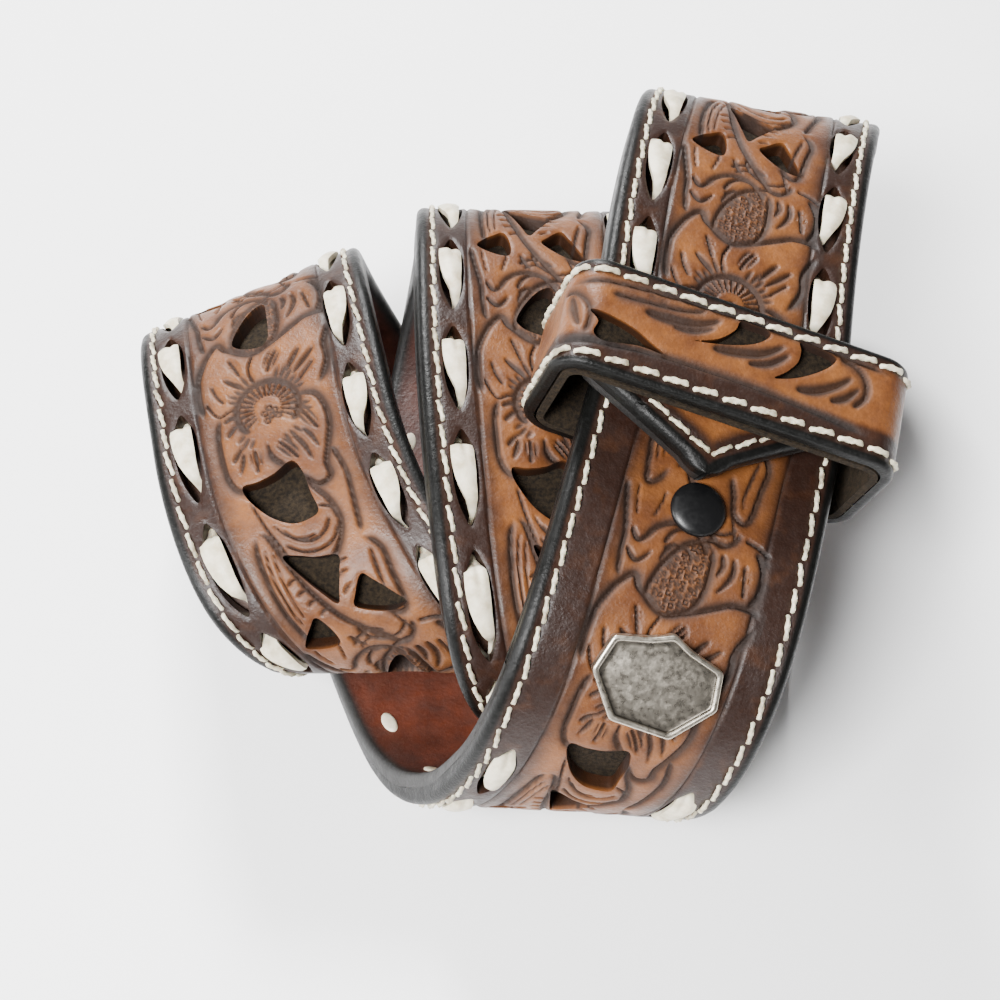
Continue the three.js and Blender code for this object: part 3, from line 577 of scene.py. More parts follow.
@dataclass
class Relief:
    """Tooled relief drawn on a flat tile of leather."""

    start: float
    length: float
    half_width: float
    repeats: bool
    cell: float = 0.12
    cut: float = 0.16

    def __post_init__(self) -> None:
        """Lays out the tile."""
        self.alongs = np.arange(self.start, self.start + self.length, self.cell)
        self.acrosses = np.arange(-self.half_width, self.half_width, self.cell)
        self.height = np.zeros((len(self.alongs), len(self.acrosses)))

    def window(self, low: Array, high: Array) -> tuple[slice, slice]:
        """Part of the tile between two corners."""
        rows = np.searchsorted(self.alongs, [low[0], high[0]])
        columns = np.searchsorted(self.acrosses, [low[1], high[1]])
        return slice(*rows), slice(*columns)

    def shifts(self) -> tuple[float, ...]:
        """Shifts at which a mark is drawn, so that it runs on into the next repeat."""
        return (-self.length, 0.0, self.length) if self.repeats else (0.0,)

    def carve(self, stroke: Stroke) -> None:
        """Carves one stroke."""
        base = smooth_line(np.array(stroke.points, float))
        for shift in self.shifts():
            self.carve_line(stroke, base + np.array([shift, 0.0]))

    def carve_line(self, stroke: Stroke, line: Array) -> None:
        """Carves one stroke along a line.

        Args:
            stroke: Its tool, width and depth.
            line: Its points.
        """
        margin = 3.2 * stroke.width
        rows, columns = self.window(line.min(0) - margin, line.max(0) + margin)
        along, across = self.alongs[rows], self.acrosses[columns]
        if len(along) == 0 or len(across) == 0:
            return
        spots = np.stack(np.meshgrid(along, across, indexing="ij"), axis=-1).reshape(-1, 2)
        leg = np.diff(line, axis=0)
        size = (leg * leg).sum(1)
        offset = spots[:, None] - line[:-1]
        share = np.clip((offset * leg).sum(2) / size, 0, 1)
        gap = offset - share[..., None] * leg
        apart = np.sqrt((gap * gap).sum(2))
        best = apart.argmin(1)
        index = np.arange(len(spots))
        distance = apart[index, best]
        lengths = np.concatenate([[0.0], np.cumsum(np.sqrt(size))])
        place = (lengths[best] + share[index, best] * np.sqrt(size)[best]) / lengths[-1]
        nearest, way = gap[index, best], leg[best]
        signed = distance * np.sign(way[:, 0] * nearest[:, 1] - way[:, 1] * nearest[:, 0])
        height = self.profile(stroke, signed, place).reshape(len(along), len(across))
        self.height[rows, columns] = np.minimum(self.height[rows, columns], height)

    def profile(self, stroke: Stroke, signed: Array, place: Array) -> Array:
        """Cross-section that a tool leaves.

        Args:
            stroke: Its tool, width and depth.
            signed: Distance from the stroke, over 0 on its left.
            place: Share of the way along the stroke.

        Returns:
            Heights, none over 0.
        """
        ends = smooth_share(place, -0.02, 0.1) * smooth_share(1 - place, -0.02, 0.1)
        distance = np.abs(signed)
        if stroke.tool in (Tool.BEVEL_LEFT, Tool.BEVEL_RIGHT):
            sunk = signed > 0 if stroke.tool is Tool.BEVEL_LEFT else signed < 0
            knife = np.exp(-((distance / (2 * self.cut)) ** 2))
            slope = np.where(sunk, np.exp(-((distance / stroke.width) ** 1.5)), knife)
            return -stroke.depth * ends * (0.5 * knife + 0.5 * slope)
        if stroke.tool is Tool.GROOVE:
            return -stroke.depth * ends * np.exp(-((distance / (0.42 * stroke.width)) ** 2))
        pear = np.sin(math.pi * np.clip(place, 0, 1) ** 0.75) ** 0.6
        reach = 0.5 * stroke.width * (0.25 + 0.75 * pear)
        if stroke.tool is Tool.TEARDROP:
            return -stroke.depth * (0.4 + 0.6 * pear) * ends * np.exp(-((distance / reach) ** 2))
        hollow = np.clip(1 - (distance / (1.25 * reach)) ** 2, 0, 1)
        lines = 0.55 + 0.45 * np.cos(2 * math.pi * signed / 0.85)
        return -stroke.depth * ends * hollow**0.5 * lines

    def seed(self, outline: Array, pitch: float = 1.08) -> None:
        """Stamps an area with seeds.

        Args:
            outline: The area's edge.
            pitch: Distance between two seeds.
        """
        random = np.random.default_rng(7)
        for shift in self.shifts():
            edge = outline + np.array([shift, 0.0])
            low, high = edge.min(0), edge.max(0)
            grid = [
                (a + (0.5 * pitch if k % 2 else 0.0), b)
                for k, b in enumerate(np.arange(low[1], high[1], 0.87 * pitch))
                for a in np.arange(low[0], high[0], pitch)
            ]
            spots = np.array(grid) + random.normal(0, 0.07, (len(grid), 2))
            inside = outline_distance(spots, edge)[0] < -0.3
            for spot in spots[inside]:
                self.ring(spot, 0.3, 0.26)

    def ring(self, spot: Array, radius: float, depth: float) -> None:
        """Stamps one ring."""
        rows, columns = self.window(spot - 0.9, spot + 0.9)
        along, across = self.alongs[rows, None] - spot[0], self.acrosses[None, columns] - spot[1]
        away = np.hypot(along, across) - radius
        height = -depth * np.exp(-((away / 0.17) ** 2))
        self.height[rows, columns] = np.minimum(self.height[rows, columns], height)

    def sunburst(self, middle: tuple[float, float], inner: float, outer: float, rays: int) -> None:
        """Cuts the rays round the middle of a flower.

        Args:
            middle: Its place.
            inner: Radius where the rays start.
            outer: Radius where they end.
            rays: Their count.
        """
        spot = np.array(middle)
        rows, columns = self.window(spot - outer - 1, spot + outer + 1)
        along, across = self.alongs[rows, None] - spot[0], self.acrosses[None, columns] - spot[1]
        radius, angle = np.hypot(along, across), np.arctan2(across, along)
        upper = smooth_share(-along + 0.75 * np.abs(across), -1.6, 0.4)
        band = smooth_share(radius, inner - 0.2, inner + 0.2)
        band *= 1 - smooth_share(radius, outer - 0.35, outer - 0.05)
        rays_height = -0.3 * band * (0.5 + 0.5 * np.cos(rays * angle)) * upper
        past = np.where(radius > outer, radius - outer, 3 * (outer - radius))
        rim = -0.42 * upper * np.exp(-(past / 0.7) ** 1.5)
        self.height[rows, columns] = np.minimum(
            np.where(radius < outer, rays_height, self.height[rows, columns]), rim
        )

    def soften(self) -> None:
        """Keeps a blurred copy of the relief, for the painted shade round the cuts."""
        self.soft = self.height
        for axis in (0, 1, 0, 1):
            self.soft = sum(np.roll(self.soft, shift, axis) for shift in range(-6, 7)) / 13

    def sample(self, along: Array, across: Array, table: Array | None = None) -> Array:
        """Height of the relief, or the value of another table, at places on the tile.

        Args:
            along: Places along the tile.
            across: Places across it.
            table: The table to read, or None for the relief itself.

        Returns:
            The value at each place.
        """
        table = self.height if table is None else table
        place = (along - self.start) / self.cell
        rows = len(self.alongs)
        if self.repeats:
            place = np.mod(place, rows)
        inside = (place >= 0) & (place < rows) & (np.abs(across) < self.half_width - 2 * self.cell)
        row = np.clip(np.floor(place).astype(int), 0, rows - 1)
        after = (row + 1) % rows if self.repeats else np.clip(row + 1, 0, rows - 1)
        column_place = np.clip((across + self.half_width) / self.cell, 0, len(self.acrosses) - 1.01)
        column = column_place.astype(int)
        u, v = np.clip(place - row, 0, 1), column_place - column
        height = (
            table[row, column] * (1 - u) * (1 - v)
            + table[after, column] * u * (1 - v)
            + table[row, column + 1] * (1 - u) * v
            + table[after, column + 1] * u * v
        )
        return np.where(inside, height, 0.0)


POD = smooth_line(
    np.array([(-23.5, 3.4), (-20.6, 4.1), (-16.5, 3.9), (-13.1, 2.6), (-11.3, -0.6),
              (-12.9, -3.5), (-15.2, -3.5), (-18.9, -2.3), (-22.3, 0.2)]), 5, closed=True,
)


def belt_relief() -> Relief:
    """Relief of one repeat of the belt's pattern."""
    relief = Relief(-29.0, MOTIF_LENGTH, 13.5, repeats=True)
    for stroke in TOOLING:
        relief.carve(stroke)
    relief.seed(POD)
    relief.sunburst((-0.1, 0.0), 2.1, 4.7, 26)
    for across, along in ((0.2, 0.6), (1.1, 1.2), (-0.6, 1.5), (0.5, 2.1), (1.5, 2.3), (-0.3, 2.8)):
        relief.ring(np.array([along - 0.6, across]), 0.4, 0.3)
    for petal, reach in ((-156, 8.6), (-128, 7.4), (150, 8.4), (122, 7.6), (72, 7.4), (28, 8.2), (-42, 7.8)):
        for turn in (-9, 0, 9):
            bend = math.radians(petal + turn)
            way = (math.cos(bend), math.sin(bend))
            stop = reach - 0.07 * abs(turn)
            points = ((5.4 * way[0], 5.4 * way[1]), (stop * way[0], stop * way[1]))
            relief.carve(Stroke(Tool.TEARDROP, 0.7, 0.26, points))
    relief.soften()
    return relief


def flower_phase(along: Array) -> Array:
    """Place in the repeated pattern of places along the strap.

    Args:
        along: Places along the strap.

    Returns:
        The places in the pattern.
    """
    counts = np.array([row.flower for row in FLOWERS], float)
    places = np.array([row.along for row in FLOWERS], float)
    first = (places[1] - places[0]) / (counts[1] - counts[0])
    last = (places[-1] - places[-2]) / (counts[-1] - counts[-2])
    counts = np.concatenate([[counts[0] - 3], counts, [counts[-1] + 3]])
    places = np.concatenate([[places[0] - 3 * first], places, [places[-1] + 3 * last]])
    return MOTIF_LENGTH * np.interp(along, places, counts)


def make_object(name: str, points: Array, faces: Array, marks: Array | None = None) -> bpy.types.Object:
    """Makes a smooth mesh object that rides with the belt.

    Args:
        name: Name of the piece.
        points: Points in millimetres.
        faces: Rows of three or four point numbers.
        marks: Four shares for each point, kept as the colour attribute "marks".

    Returns:
        The object.
    """
    mesh = bpy.data.meshes.new(name)
    size = faces.shape[1]
    mesh.vertices.add(len(points))
    mesh.vertices.foreach_set("co", (points * MM).astype(np.float32).ravel())
    mesh.loops.add(faces.size)
    mesh.loops.foreach_set("vertex_index", faces.astype(np.int32).ravel())
    mesh.polygons.add(len(faces))
    mesh.polygons.foreach_set("loop_start", np.arange(0, faces.size, size, dtype=np.int32))
    mesh.update(calc_edges=True)
    mesh.validate()
    mesh.polygons.foreach_set("use_smooth", np.ones(len(mesh.polygons), bool))
    mesh.set_sharp_from_angle(angle=math.radians(52))
    if marks is not None:
        layer = mesh.color_attributes.new("marks", "FLOAT_COLOR", "POINT")
        layer.data.foreach_set("color", marks.astype(np.float32).ravel())
    made = bpy.data.objects.new(name, mesh)
    bpy.context.scene.collection.objects.link(made)
    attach(made, "root")
    return made


def sheet_faces(rows: int, columns: int) -> Array:
    """Faces of a grid of points, looking out."""
    index = np.arange(rows * columns).reshape(rows, columns)
    return np.stack([index[:-1, :-1], index[1:, :-1], index[1:, 1:], index[:-1, 1:]], -1).reshape(-1, 4)


@dataclass
class Leather:
    """A sheet of leather drawn flat on a grid, pierced, and bent at the end."""

    alongs: Array
    rows: tuple[Array, Array]
    thickness: float

    def __post_init__(self) -> None:
        """Starts with a whole sheet."""
        across, depth = self.rows
        self.spots = np.stack(np.broadcast_arrays(self.alongs[:, None], across), axis=-1).copy()
        self.depth = np.broadcast_to(depth, across.shape).copy()
        self.gone = np.zeros((len(self.alongs) - 1, across.shape[1] - 1), bool)
        self.rim = np.full(across.shape, 9.0)

    def pierce(self, outline: Array) -> None:
        """Cuts a gap and brings the points of its edge onto the outline.

        Args:
            outline: The edge of the gap.
        """
        low, high = outline.min(0) - 1.6, outline.max(0) + 1.6
        first, last = np.searchsorted(self.alongs, [low[0], high[0]])
        middle = self.spots[len(self.spots) // 2, :, 1]
        start, stop = np.searchsorted(middle, [low[1], high[1]])
        if last - first < 3 or stop - start < 3:
            return
        area = (slice(first, last), slice(start, stop))
        spots = self.spots[area]
        shape = spots.shape[:2]
        distance, near = outline_distance(spots.reshape(-1, 2), outline)
        centres = (spots[:-1, :-1] + spots[1:, :-1] + spots[1:, 1:] + spots[:-1, 1:]) / 4
        inside = outline_distance(centres.reshape(-1, 2), outline)[0].reshape(centres.shape[:2]) < 0
        beside = np.zeros(shape, bool)
        kept = np.zeros(shape, bool)
        for i, j in ((0, 0), (0, 1), (1, 0), (1, 1)):
            part = (slice(i, i + inside.shape[0]), slice(j, j + inside.shape[1]))
            beside[part] |= inside
            kept[part] |= ~inside
        edge = beside & kept
        spots[edge] = near.reshape(*shape, 2)[edge]
        distance = np.where(edge, 0.0, distance.reshape(shape))
        self.rim[area] = np.minimum(self.rim[area], np.abs(distance))
        self.gone[first : last - 1, start : stop - 1] |= inside

    def surface(self) -> tuple[Array, Array, Array, Array]:
        """The top surface and the walls of the gaps.

        Returns:
            Spots along and across, depths, faces, and which points are at the foot of a wall.
        """
        rows, columns = self.depth.shape
        index = np.arange(rows * columns).reshape(rows, columns)
        quads = np.stack([index[:-1, :-1], index[1:, :-1], index[1:, 1:], index[:-1, 1:]], -1)
        top = quads[~self.gone]
        edges = []
        ends = ((0, 1), (1, 2), (2, 3), (3, 0))
        for (i, j), (a, b) in zip(((0, -1), (1, 0), (0, 1), (-1, 0)), ends):
            beside = np.zeros_like(self.gone)
            inner = self.gone[max(i, 0) : rows - 1 + min(i, 0), max(j, 0) : columns - 1 + min(j, 0)]
            beside[max(-i, 0) : rows - 1 + min(-i, 0), max(-j, 0) : columns - 1 + min(-j, 0)] = inner
            edges.append(quads[~self.gone & beside][:, [a, b]])
        pairs = np.concatenate(edges)
        feet, inverse = np.unique(pairs, return_inverse=True)
        inverse = inverse.reshape(pairs.shape) + rows * columns
        walls = np.stack([pairs[:, 1], pairs[:, 0], inverse[:, 0], inverse[:, 1]], 1)
        spots = np.concatenate([self.spots.reshape(-1, 2), self.spots.reshape(-1, 2)[feet]])
        depth = np.concatenate([self.depth.ravel(), np.full(len(feet), self.thickness)])
        foot = np.concatenate([np.zeros(rows * columns, bool), np.ones(len(feet), bool)])
        faces = np.concatenate([top, walls])
        used = np.unique(faces)
        renumber = np.zeros(len(spots), int)
        renumber[used] = np.arange(len(used))
        return spots[used], depth[used], renumber[faces], foot[used]


@dataclass
class Strap:
    """The strap: tooled face, lining, suede inlay, edges and the pattern's gaps."""

    half_width: float = 19
    tip_length: float = 11
    face_thickness: float = 2.4
    total_thickness: float = 4.8
    edge_radius: float = 1.15
    lace_line: float = 13.6
    lace_first: float = 88
    lace_pitch: float = 17.7
    lace_stitches: int = 37
    stitch_inset: float = 2.45
    inlay_start: float = 71
    inlay_end: float = 704
    fine_step: float = 0.27
    coarse_step: float = 1.3
    boldness: float = 1.7

    def half_at(self, along: Array) -> Array:
        """Half the strap's width along it, closing to the tip."""
        left = np.maximum(ROLL.length - along, 0)
        slope = self.half_width / self.tip_length
        blunt = 2.2
        close = np.where(left > blunt, left, np.sqrt(left * blunt))
        return np.minimum(self.half_width, slope * close)

    def spread_at(self, along: Array) -> Array:
        """How much wider an edge looks across the strap where it slopes to the tip."""
        shoulder = ROLL.length - self.tip_length
        slope = math.hypot(1, self.half_width / self.tip_length)
        return 1 + (slope - 1) * smooth_share(along, shoulder - 0.6, shoulder + 1.2)

    def profile(self, along: Array, spacing: float, top: float, foot: float) -> tuple[Array, Array]:
        """Columns of points from the left edge to the right edge, round both corners.

        Args:
            along: Lengths along the strap.
            spacing: Distance between two columns.
            top: Depth of the surface.
            foot: Depth where the side ends.

        Returns:
            Distances across and depths, a row for each length.
        """
        half, spread = self.half_at(along)[:, None], self.spread_at(along)[:, None]
        radius = np.minimum(self.edge_radius * spread, 0.85 * half)
        drop = radius / spread * (1 if foot > top else -1)
        count = int(round(2 * (self.half_width - self.edge_radius) / spacing))
        shares = np.linspace(-1, 1, count + 1)[None, :]
        flat = (half - radius) * shares
        angle = np.radians([22, 45, 67, 90])[None, :]
        edge = half - radius + radius * np.sin(angle)
        round_depth = top + drop * (1 - np.cos(angle))
        side = [half, np.full_like(half, foot)]
        across = np.concatenate([-side[0], -edge[:, ::-1], flat, edge, side[0]], axis=1)
        flat_depth = np.full_like(flat, top)
        depth = np.concatenate([side[1], round_depth[:, ::-1], flat_depth, round_depth, side[1]], 1)
        return across, depth

    def edge_share(self, along: Array, across: Array) -> Array:
        """Distance in from the edge of the strap."""
        return (self.half_at(along) - np.abs(across)) / self.spread_at(along)

    def stations(self) -> Array:
        """Middles of the lace stitches."""
        return self.lace_first + self.lace_pitch * np.arange(self.lace_stitches)

    def gap_outlines(self) -> list[Array]:
        """Outlines of the pierced gaps of the pattern."""
        outlines = []
        counts = np.array([row.flower for row in FLOWERS], float)
        places = np.array([row.along for row in FLOWERS], float)
        first = (places[1] - places[0]) / (counts[1] - counts[0])
        last = (places[-1] - places[-2]) / (counts[-1] - counts[-2])
        counts = np.concatenate([[counts[0] - 1], counts, [counts[-1] + 1]])
        places = np.concatenate([[places[0] - first], places, [places[-1] + last]])
        for flower in range(FLOWERS[-1].flower + 1):
            for gap in GAPS:
                middle = float(np.mean([point[0] for point in gap]))
                along = float(np.interp(flower + middle / MOTIF_LENGTH, counts, places))
                outline = gap_outline(gap, along - middle)
                if outline[:, 0].min() > self.inlay_start and outline[:, 0].max() < self.inlay_end:
                    outlines.append(outline)
        return outlines

    def slot_outline(self, along: float, hand: int) -> Array:
        """Outline of a lace slot: a slim leaf."""
        half = np.array([(-7.3, 0), (-6.1, 0.8), (-3.6, 1.75), (0, 1.95), (3.4, 1.6), (6.1, 0.75),
                         (7.3, 0), (6.1, -0.75), (3.4, -1.6), (0, -1.95), (-3.6, -1.75), (-6.1, -0.8)])
        return smooth_line(half, 4, closed=True) + np.array([along, hand * self.lace_line])

    def steps(self, start: float, stop: float) -> Array:
        """Lengths along the strap, closer where the photograph shows the tooling.

        Args:
            start: First length.
            stop: Last length.

        Returns:
            The lengths.
        """
        shown = ((22, 118), (222, 322), (404, 520), (664, ROLL.length))
        places = [start]
        while places[-1] < stop - 0.2:
            here = places[-1]
            fine = any(low <= here <= high for low, high in shown)
            places.append(here + (self.fine_step if fine else self.coarse_step))
        places[-1] = stop
        return np.array(places)

    def relief_height(self, along: Array, across: Array, relief: Relief) -> Array:
        """Height of the tooling on the strap.

        Args:
            along: Places along the strap.
            across: Places across it.
            relief: The tooled relief.

        Returns:
            The height at each place.
        """
        height = self.boldness * relief.sample(flower_phase(along), across)
        height *= smooth_share(along, 6, 14) * (1 - smooth_share(along, 741, 745))
        wave = 0.25 * np.sin(along / 9.0)
        for line in (-10.9, 11.5):
            off = (across - line - wave) / 0.26
            height = np.minimum(height, -0.36 * np.exp(-off * off) * smooth_share(along, 6, 14))
        beyond = smooth_share(np.abs(across - 0.3), 11.1, 12.2)
        return height * (1 - beyond)

    def build_face(self, relief: Relief) -> list[bpy.types.Object]:
        """Builds the tooled face in lengths that follow one another.

        Args:
            relief: The relief of one repeat of the pattern.

        Returns:
            The objects, from the flap to the tip.
        """
        outlines = self.gap_outlines()
        outlines += [self.slot_outline(at, hand) for at in self.stations() for hand in (-1, 1)]
        start = -ROLL.fold_length - ROLL.flap_length
        cuts = (start, 200, 380, 560, ROLL.length - 0.02)
        made = []
        for number, (low, high) in enumerate(zip(cuts[:-1], cuts[1:]), 1):
            alongs = self.steps(low, high)
            columns = self.profile(alongs, self.fine_step, 0.0, self.face_thickness)
            leather = Leather(alongs, columns, self.face_thickness + 0.25)
            for outline in outlines:
                if outline[:, 0].max() > low and outline[:, 0].min() < high:
                    leather.pierce(outline)
            rim = leather.rim
            along, across = leather.spots[..., 0], leather.spots[..., 1]
            carved = self.relief_height(along, across, relief)
            carved *= smooth_share(rim, 0.0, 0.5)
            stitch_line = self.edge_share(along, across) - self.stitch_inset
            channel = -0.16 * np.exp(-((stitch_line / 0.55) ** 2)) * (along > 2)
            rounded = -0.16 * np.exp(-((rim / 0.3) ** 2))
            leather.depth = leather.depth - carved - rounded - channel
            spots, depth, faces, foot = leather.surface()
            marks = self.face_marks(spots, foot, relief)
            name = f"tooled_face_{number}"
            face = make_object(name, ROLL.place(spots[:, 0], spots[:, 1], depth), faces, marks)
            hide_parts("strap_face")
            made.append(face)
            log.info("%s: %d faces", name, len(faces))
        made.append(self.build_under())
        return made

    def face_marks(self, spots: Array, foot: Array, relief: Relief) -> Array:
        """Shares of edge paint, border burnish, antique stain in the cuts with painted shade round them, and
        raw leather of the strap.

        Args:
            spots: Places along and across.
            foot: Which points are at the foot of a wall.
            relief: The tooled relief.

        Returns:
            The four shares, a row for each place.
        """
        along, across = spots[:, 0], spots[:, 1]
        inset = self.edge_share(along, across)
        edge = 1 - smooth_share(inset, 1.25, 1.75)
        border = smooth_share(np.abs(across - 0.3), 7.6, 12.2)
        border = np.maximum(border, 1 - smooth_share(along, 2, 12))
        tip = 1 - smooth_share(inset, 3.2, 5.5)
        border = np.where(along > 742, tip, border)
        carved = self.relief_height(along, across, relief)
        # painted shade: a dark halo round every cut, taken from the blurred relief and added to the antique
        # stain
        shade_halo = relief.sample(flower_phase(along), across, relief.soft) * smooth_share(along, 6, 14)
        shade_halo *= 1 - smooth_share(along, 741, 745)
        stain_and_shade = np.clip(0.85 * np.clip((-carved - 0.08) / 0.36, 0, 1) + np.clip(-3 * shade_halo, 0, 0.45), 0, 1)
        return np.stack([edge, border, stain_and_shade, foot.astype(float)], axis=1)

    def build_under(self) -> bpy.types.Object:
        """Builds the back of the face leather where it is folded and has no lining."""
        start = -ROLL.fold_length - ROLL.flap_length
        alongs = np.arange(start, ROLL.flap_length + 2, 1.2)
        acrosses = np.linspace(-self.half_width, self.half_width, 20)
        grid = np.stack(np.meshgrid(alongs, acrosses, indexing="ij"), -1).reshape(-1, 2)
        faces = sheet_faces(len(alongs), len(acrosses))[:, ::-1]
        points = ROLL.place(grid[:, 0], grid[:, 1], self.face_thickness)
        marks = np.tile([0.0, 0.6, 0.0, 0.6], (len(grid), 1))
        marks[:, 0] = 1 - smooth_share(self.half_width - np.abs(grid[:, 1]), 0.4, 0.9)
        under = make_object("face_back", points, faces, marks)
        return under

    def build_lining(self) -> bpy.types.Object:
        """Builds the smooth lining that the lace shows on."""
        start = ROLL.flap_length + 0.3
        alongs = np.concatenate([np.arange(start, ROLL.length - 0.6, 1.0), [ROLL.length - 0.02]])
        across, depth = self.profile(alongs, 1.2, self.total_thickness, self.face_thickness)
        spots = np.stack(np.broadcast_arrays(alongs[:, None], across), -1)
        flat = spots.reshape(-1, 2)
        inset = self.edge_share(flat[:, 0], flat[:, 1])
        seam = np.exp(-(((inset - self.stitch_inset) / 0.5) ** 2))
        deep = depth.ravel() - 0.14 * seam
        deep += 0.1 * np.sin(flat[:, 0] / 3.1) * np.sin(flat[:, 1] / 4.3 + flat[:, 0] / 11)
        faces = sheet_faces(*spots.shape[:2])[:, ::-1]
        edge = 1 - smooth_share(inset, 1.1, 1.6)
        marks = np.stack([edge, seam, np.zeros_like(edge), np.zeros_like(edge)], 1)
        lining = make_object("lining", ROLL.place(flat[:, 0], flat[:, 1], deep), faces, marks)
        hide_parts("strap_lining")
        return lining

    def build_recess(self) -> bpy.types.Object:
        """Builds the floor of the recess in the lining, which shows at the ends of the slots."""
        alongs = np.arange(self.inlay_start, self.stations()[-1] + 8, 2.0)
        acrosses = np.linspace(-16, 16, 17)
        grid = np.stack(np.meshgrid(alongs, acrosses, indexing="ij"), -1).reshape(-1, 2)
        marks = np.tile([0.0, 0.0, 0.0, 1.0], (len(grid), 1))
        points = ROLL.place(grid[:, 0], grid[:, 1], 3.95)
        recess = make_object("lining_recess", points, sheet_faces(len(alongs), len(acrosses)), marks)
        return recess

    def build_inlay(self) -> bpy.types.Object:
        """Builds the suede, with a nap that rises and falls a little."""
        alongs = np.arange(self.inlay_start, self.inlay_end, 1.5)
        acrosses = np.linspace(-11.2, 11.2, 18)
        grid = np.stack(np.meshgrid(alongs, acrosses, indexing="ij"), -1).reshape(-1, 2)
        random = np.random.default_rng(3)
        top = 2.74 - 0.06 * random.random(len(grid))
        count = len(grid)
        points = np.concatenate(
            [ROLL.place(grid[:, 0], grid[:, 1], top), ROLL.place(grid[:, 0], grid[:, 1], 3.25)]
        )
        faces = sheet_faces(len(alongs), len(acrosses))
        faces = np.concatenate([faces, faces[:, ::-1] + count])
        inlay = make_object("suede_inlay", points, faces)
        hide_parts("strap_inlay")
        return inlay


@dataclass
class Lacing:
    """The cream lace along one edge, and the bits of it that show on the lining."""

    strap: Strap
    hand: int
    half_width: float = 1.78
    thickness: float = 0.8

    def sections(self) -> tuple[Array, Array, Array, Array]:
        """Lengths, half widths, sideways shifts and depths along the lace."""
        offsets = np.array([-8.0, -7.1, -6.4, -5.7, -5.1, -4.5, -3.6, -2.5, -1.3, 0, 1.3, 2.5, 3.5,
                            4.3, 5.0, 5.7, 6.4, 7.2, 8.0])
        half = np.interp(offsets, [-8, -6.4, -5.4, -4.6, -3.4, -1.6, 0.4, 2.2, 3.6, 4.8, 6, 8],
                         [0.5, 0.7, 1.2, 1.6, 1.76, 1.74, 1.56, 1.2, 0.84, 0.46, 0.3, 0.4])
        shift = self.hand * np.interp(offsets, [-8, -5, -2, 1, 3.4, 5, 8], [0, 0.3, 0.3, 0.1, -0.4, -0.8, 0])
        dive = smooth_share(-offsets, 4.0, 6.6) + smooth_share(offsets, 3.2, 5.9)
        depth = -0.42 + 3.2 * np.minimum(dive, 1)
        stations = self.strap.stations()
        along = (stations[:, None] + offsets).ravel()
        count = len(stations)
        return along, np.tile(half, count), np.tile(shift, count), np.tile(depth, count)

    def build(self) -> bpy.types.Object:
        """Builds the lace as one crowned band that rises in each slot."""
        along, half, shift, depth = self.sections()
        angle = np.linspace(-1, 1, 13)
        count = len(self.strap.stations())
        spread = (along.reshape(count, -1) - self.strap.stations()[:, None]).reshape(-1, 1)
        fold = smooth_share(-spread, 1.2, 4.6) * np.exp(-(((angle + 0.2 * self.hand) / 0.3) ** 2))
        crown = 0.44 * (1 - angle**2) + 0.1 * np.sin(2.4 * angle + 0.6) - 0.5 * fold
        top_across, top_depth = half[:, None] * angle, depth[:, None] - crown * (half[:, None] / 1.8)
        under_across = half[:, None] * np.array([0.9, 0.3, -0.3, -0.9])
        under_depth = depth[:, None] + self.thickness * np.ones(4)
        across = np.concatenate([top_across, under_across], 1) + shift[:, None]
        across += self.hand * self.strap.lace_line
        deep = np.concatenate([top_depth, under_depth], 1)
        size = across.shape[1]
        spots = np.broadcast_to(along[:, None], across.shape)
        points = ROLL.place(spots, across, deep).reshape(-1, 3)
        index = np.arange(len(along) * size).reshape(len(along), size)
        index = np.concatenate([index, index[:, :1]], 1)
        faces = np.stack([index[:-1, :-1], index[1:, :-1], index[1:, 1:], index[:-1, 1:]], -1)
        lace = make_object(self.name, points, faces.reshape(-1, 4))
        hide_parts("left_lace" if self.hand < 0 else "right_lace")
        return lace

    @property
    def name(self) -> str:
        """Name of the lace."""
        return "lacing_left" if self.hand < 0 else "lacing_right"

    def build_back(self) -> bpy.types.Object:
        """Builds the short lengths of lace that show on the lining."""
        stations = self.strap.stations() + self.strap.lace_pitch / 2
        turn = np.linspace(0, 2 * math.pi, 20, endpoint=False)
        rings = ((1.0, -0.12), (0.93, 0.12), (0.7, 0.26), (0.3, 0.33))
        points, faces = [], []
        for at in stations[:-1]:
            base = len(points)
            for scale, rise in rings:
                along = at + 2.3 * scale * np.cos(turn)
                across = self.hand * (self.strap.lace_line + 0.2) + 1.15 * scale * np.sin(turn)
                depth = np.full_like(along, self.strap.total_thickness + rise)
                points.extend(ROLL.place(along, across, depth))
            count = len(turn)
            for ring in range(len(rings) - 1):
                for i in range(count):
                    ahead = (i + 1) % count
                    first = base + ring * count
                    second = first + count
                    faces.append((first + i, second + i, second + ahead, first + ahead))
            last = base + (len(rings) - 1) * count
            for i in range(1, count // 2):
                faces.append((last + i - 1, last + count - i, last + count - i - 1, last + i))
        lace = make_object(f"{self.name}_back", np.array(points), np.array(faces))
        return lace


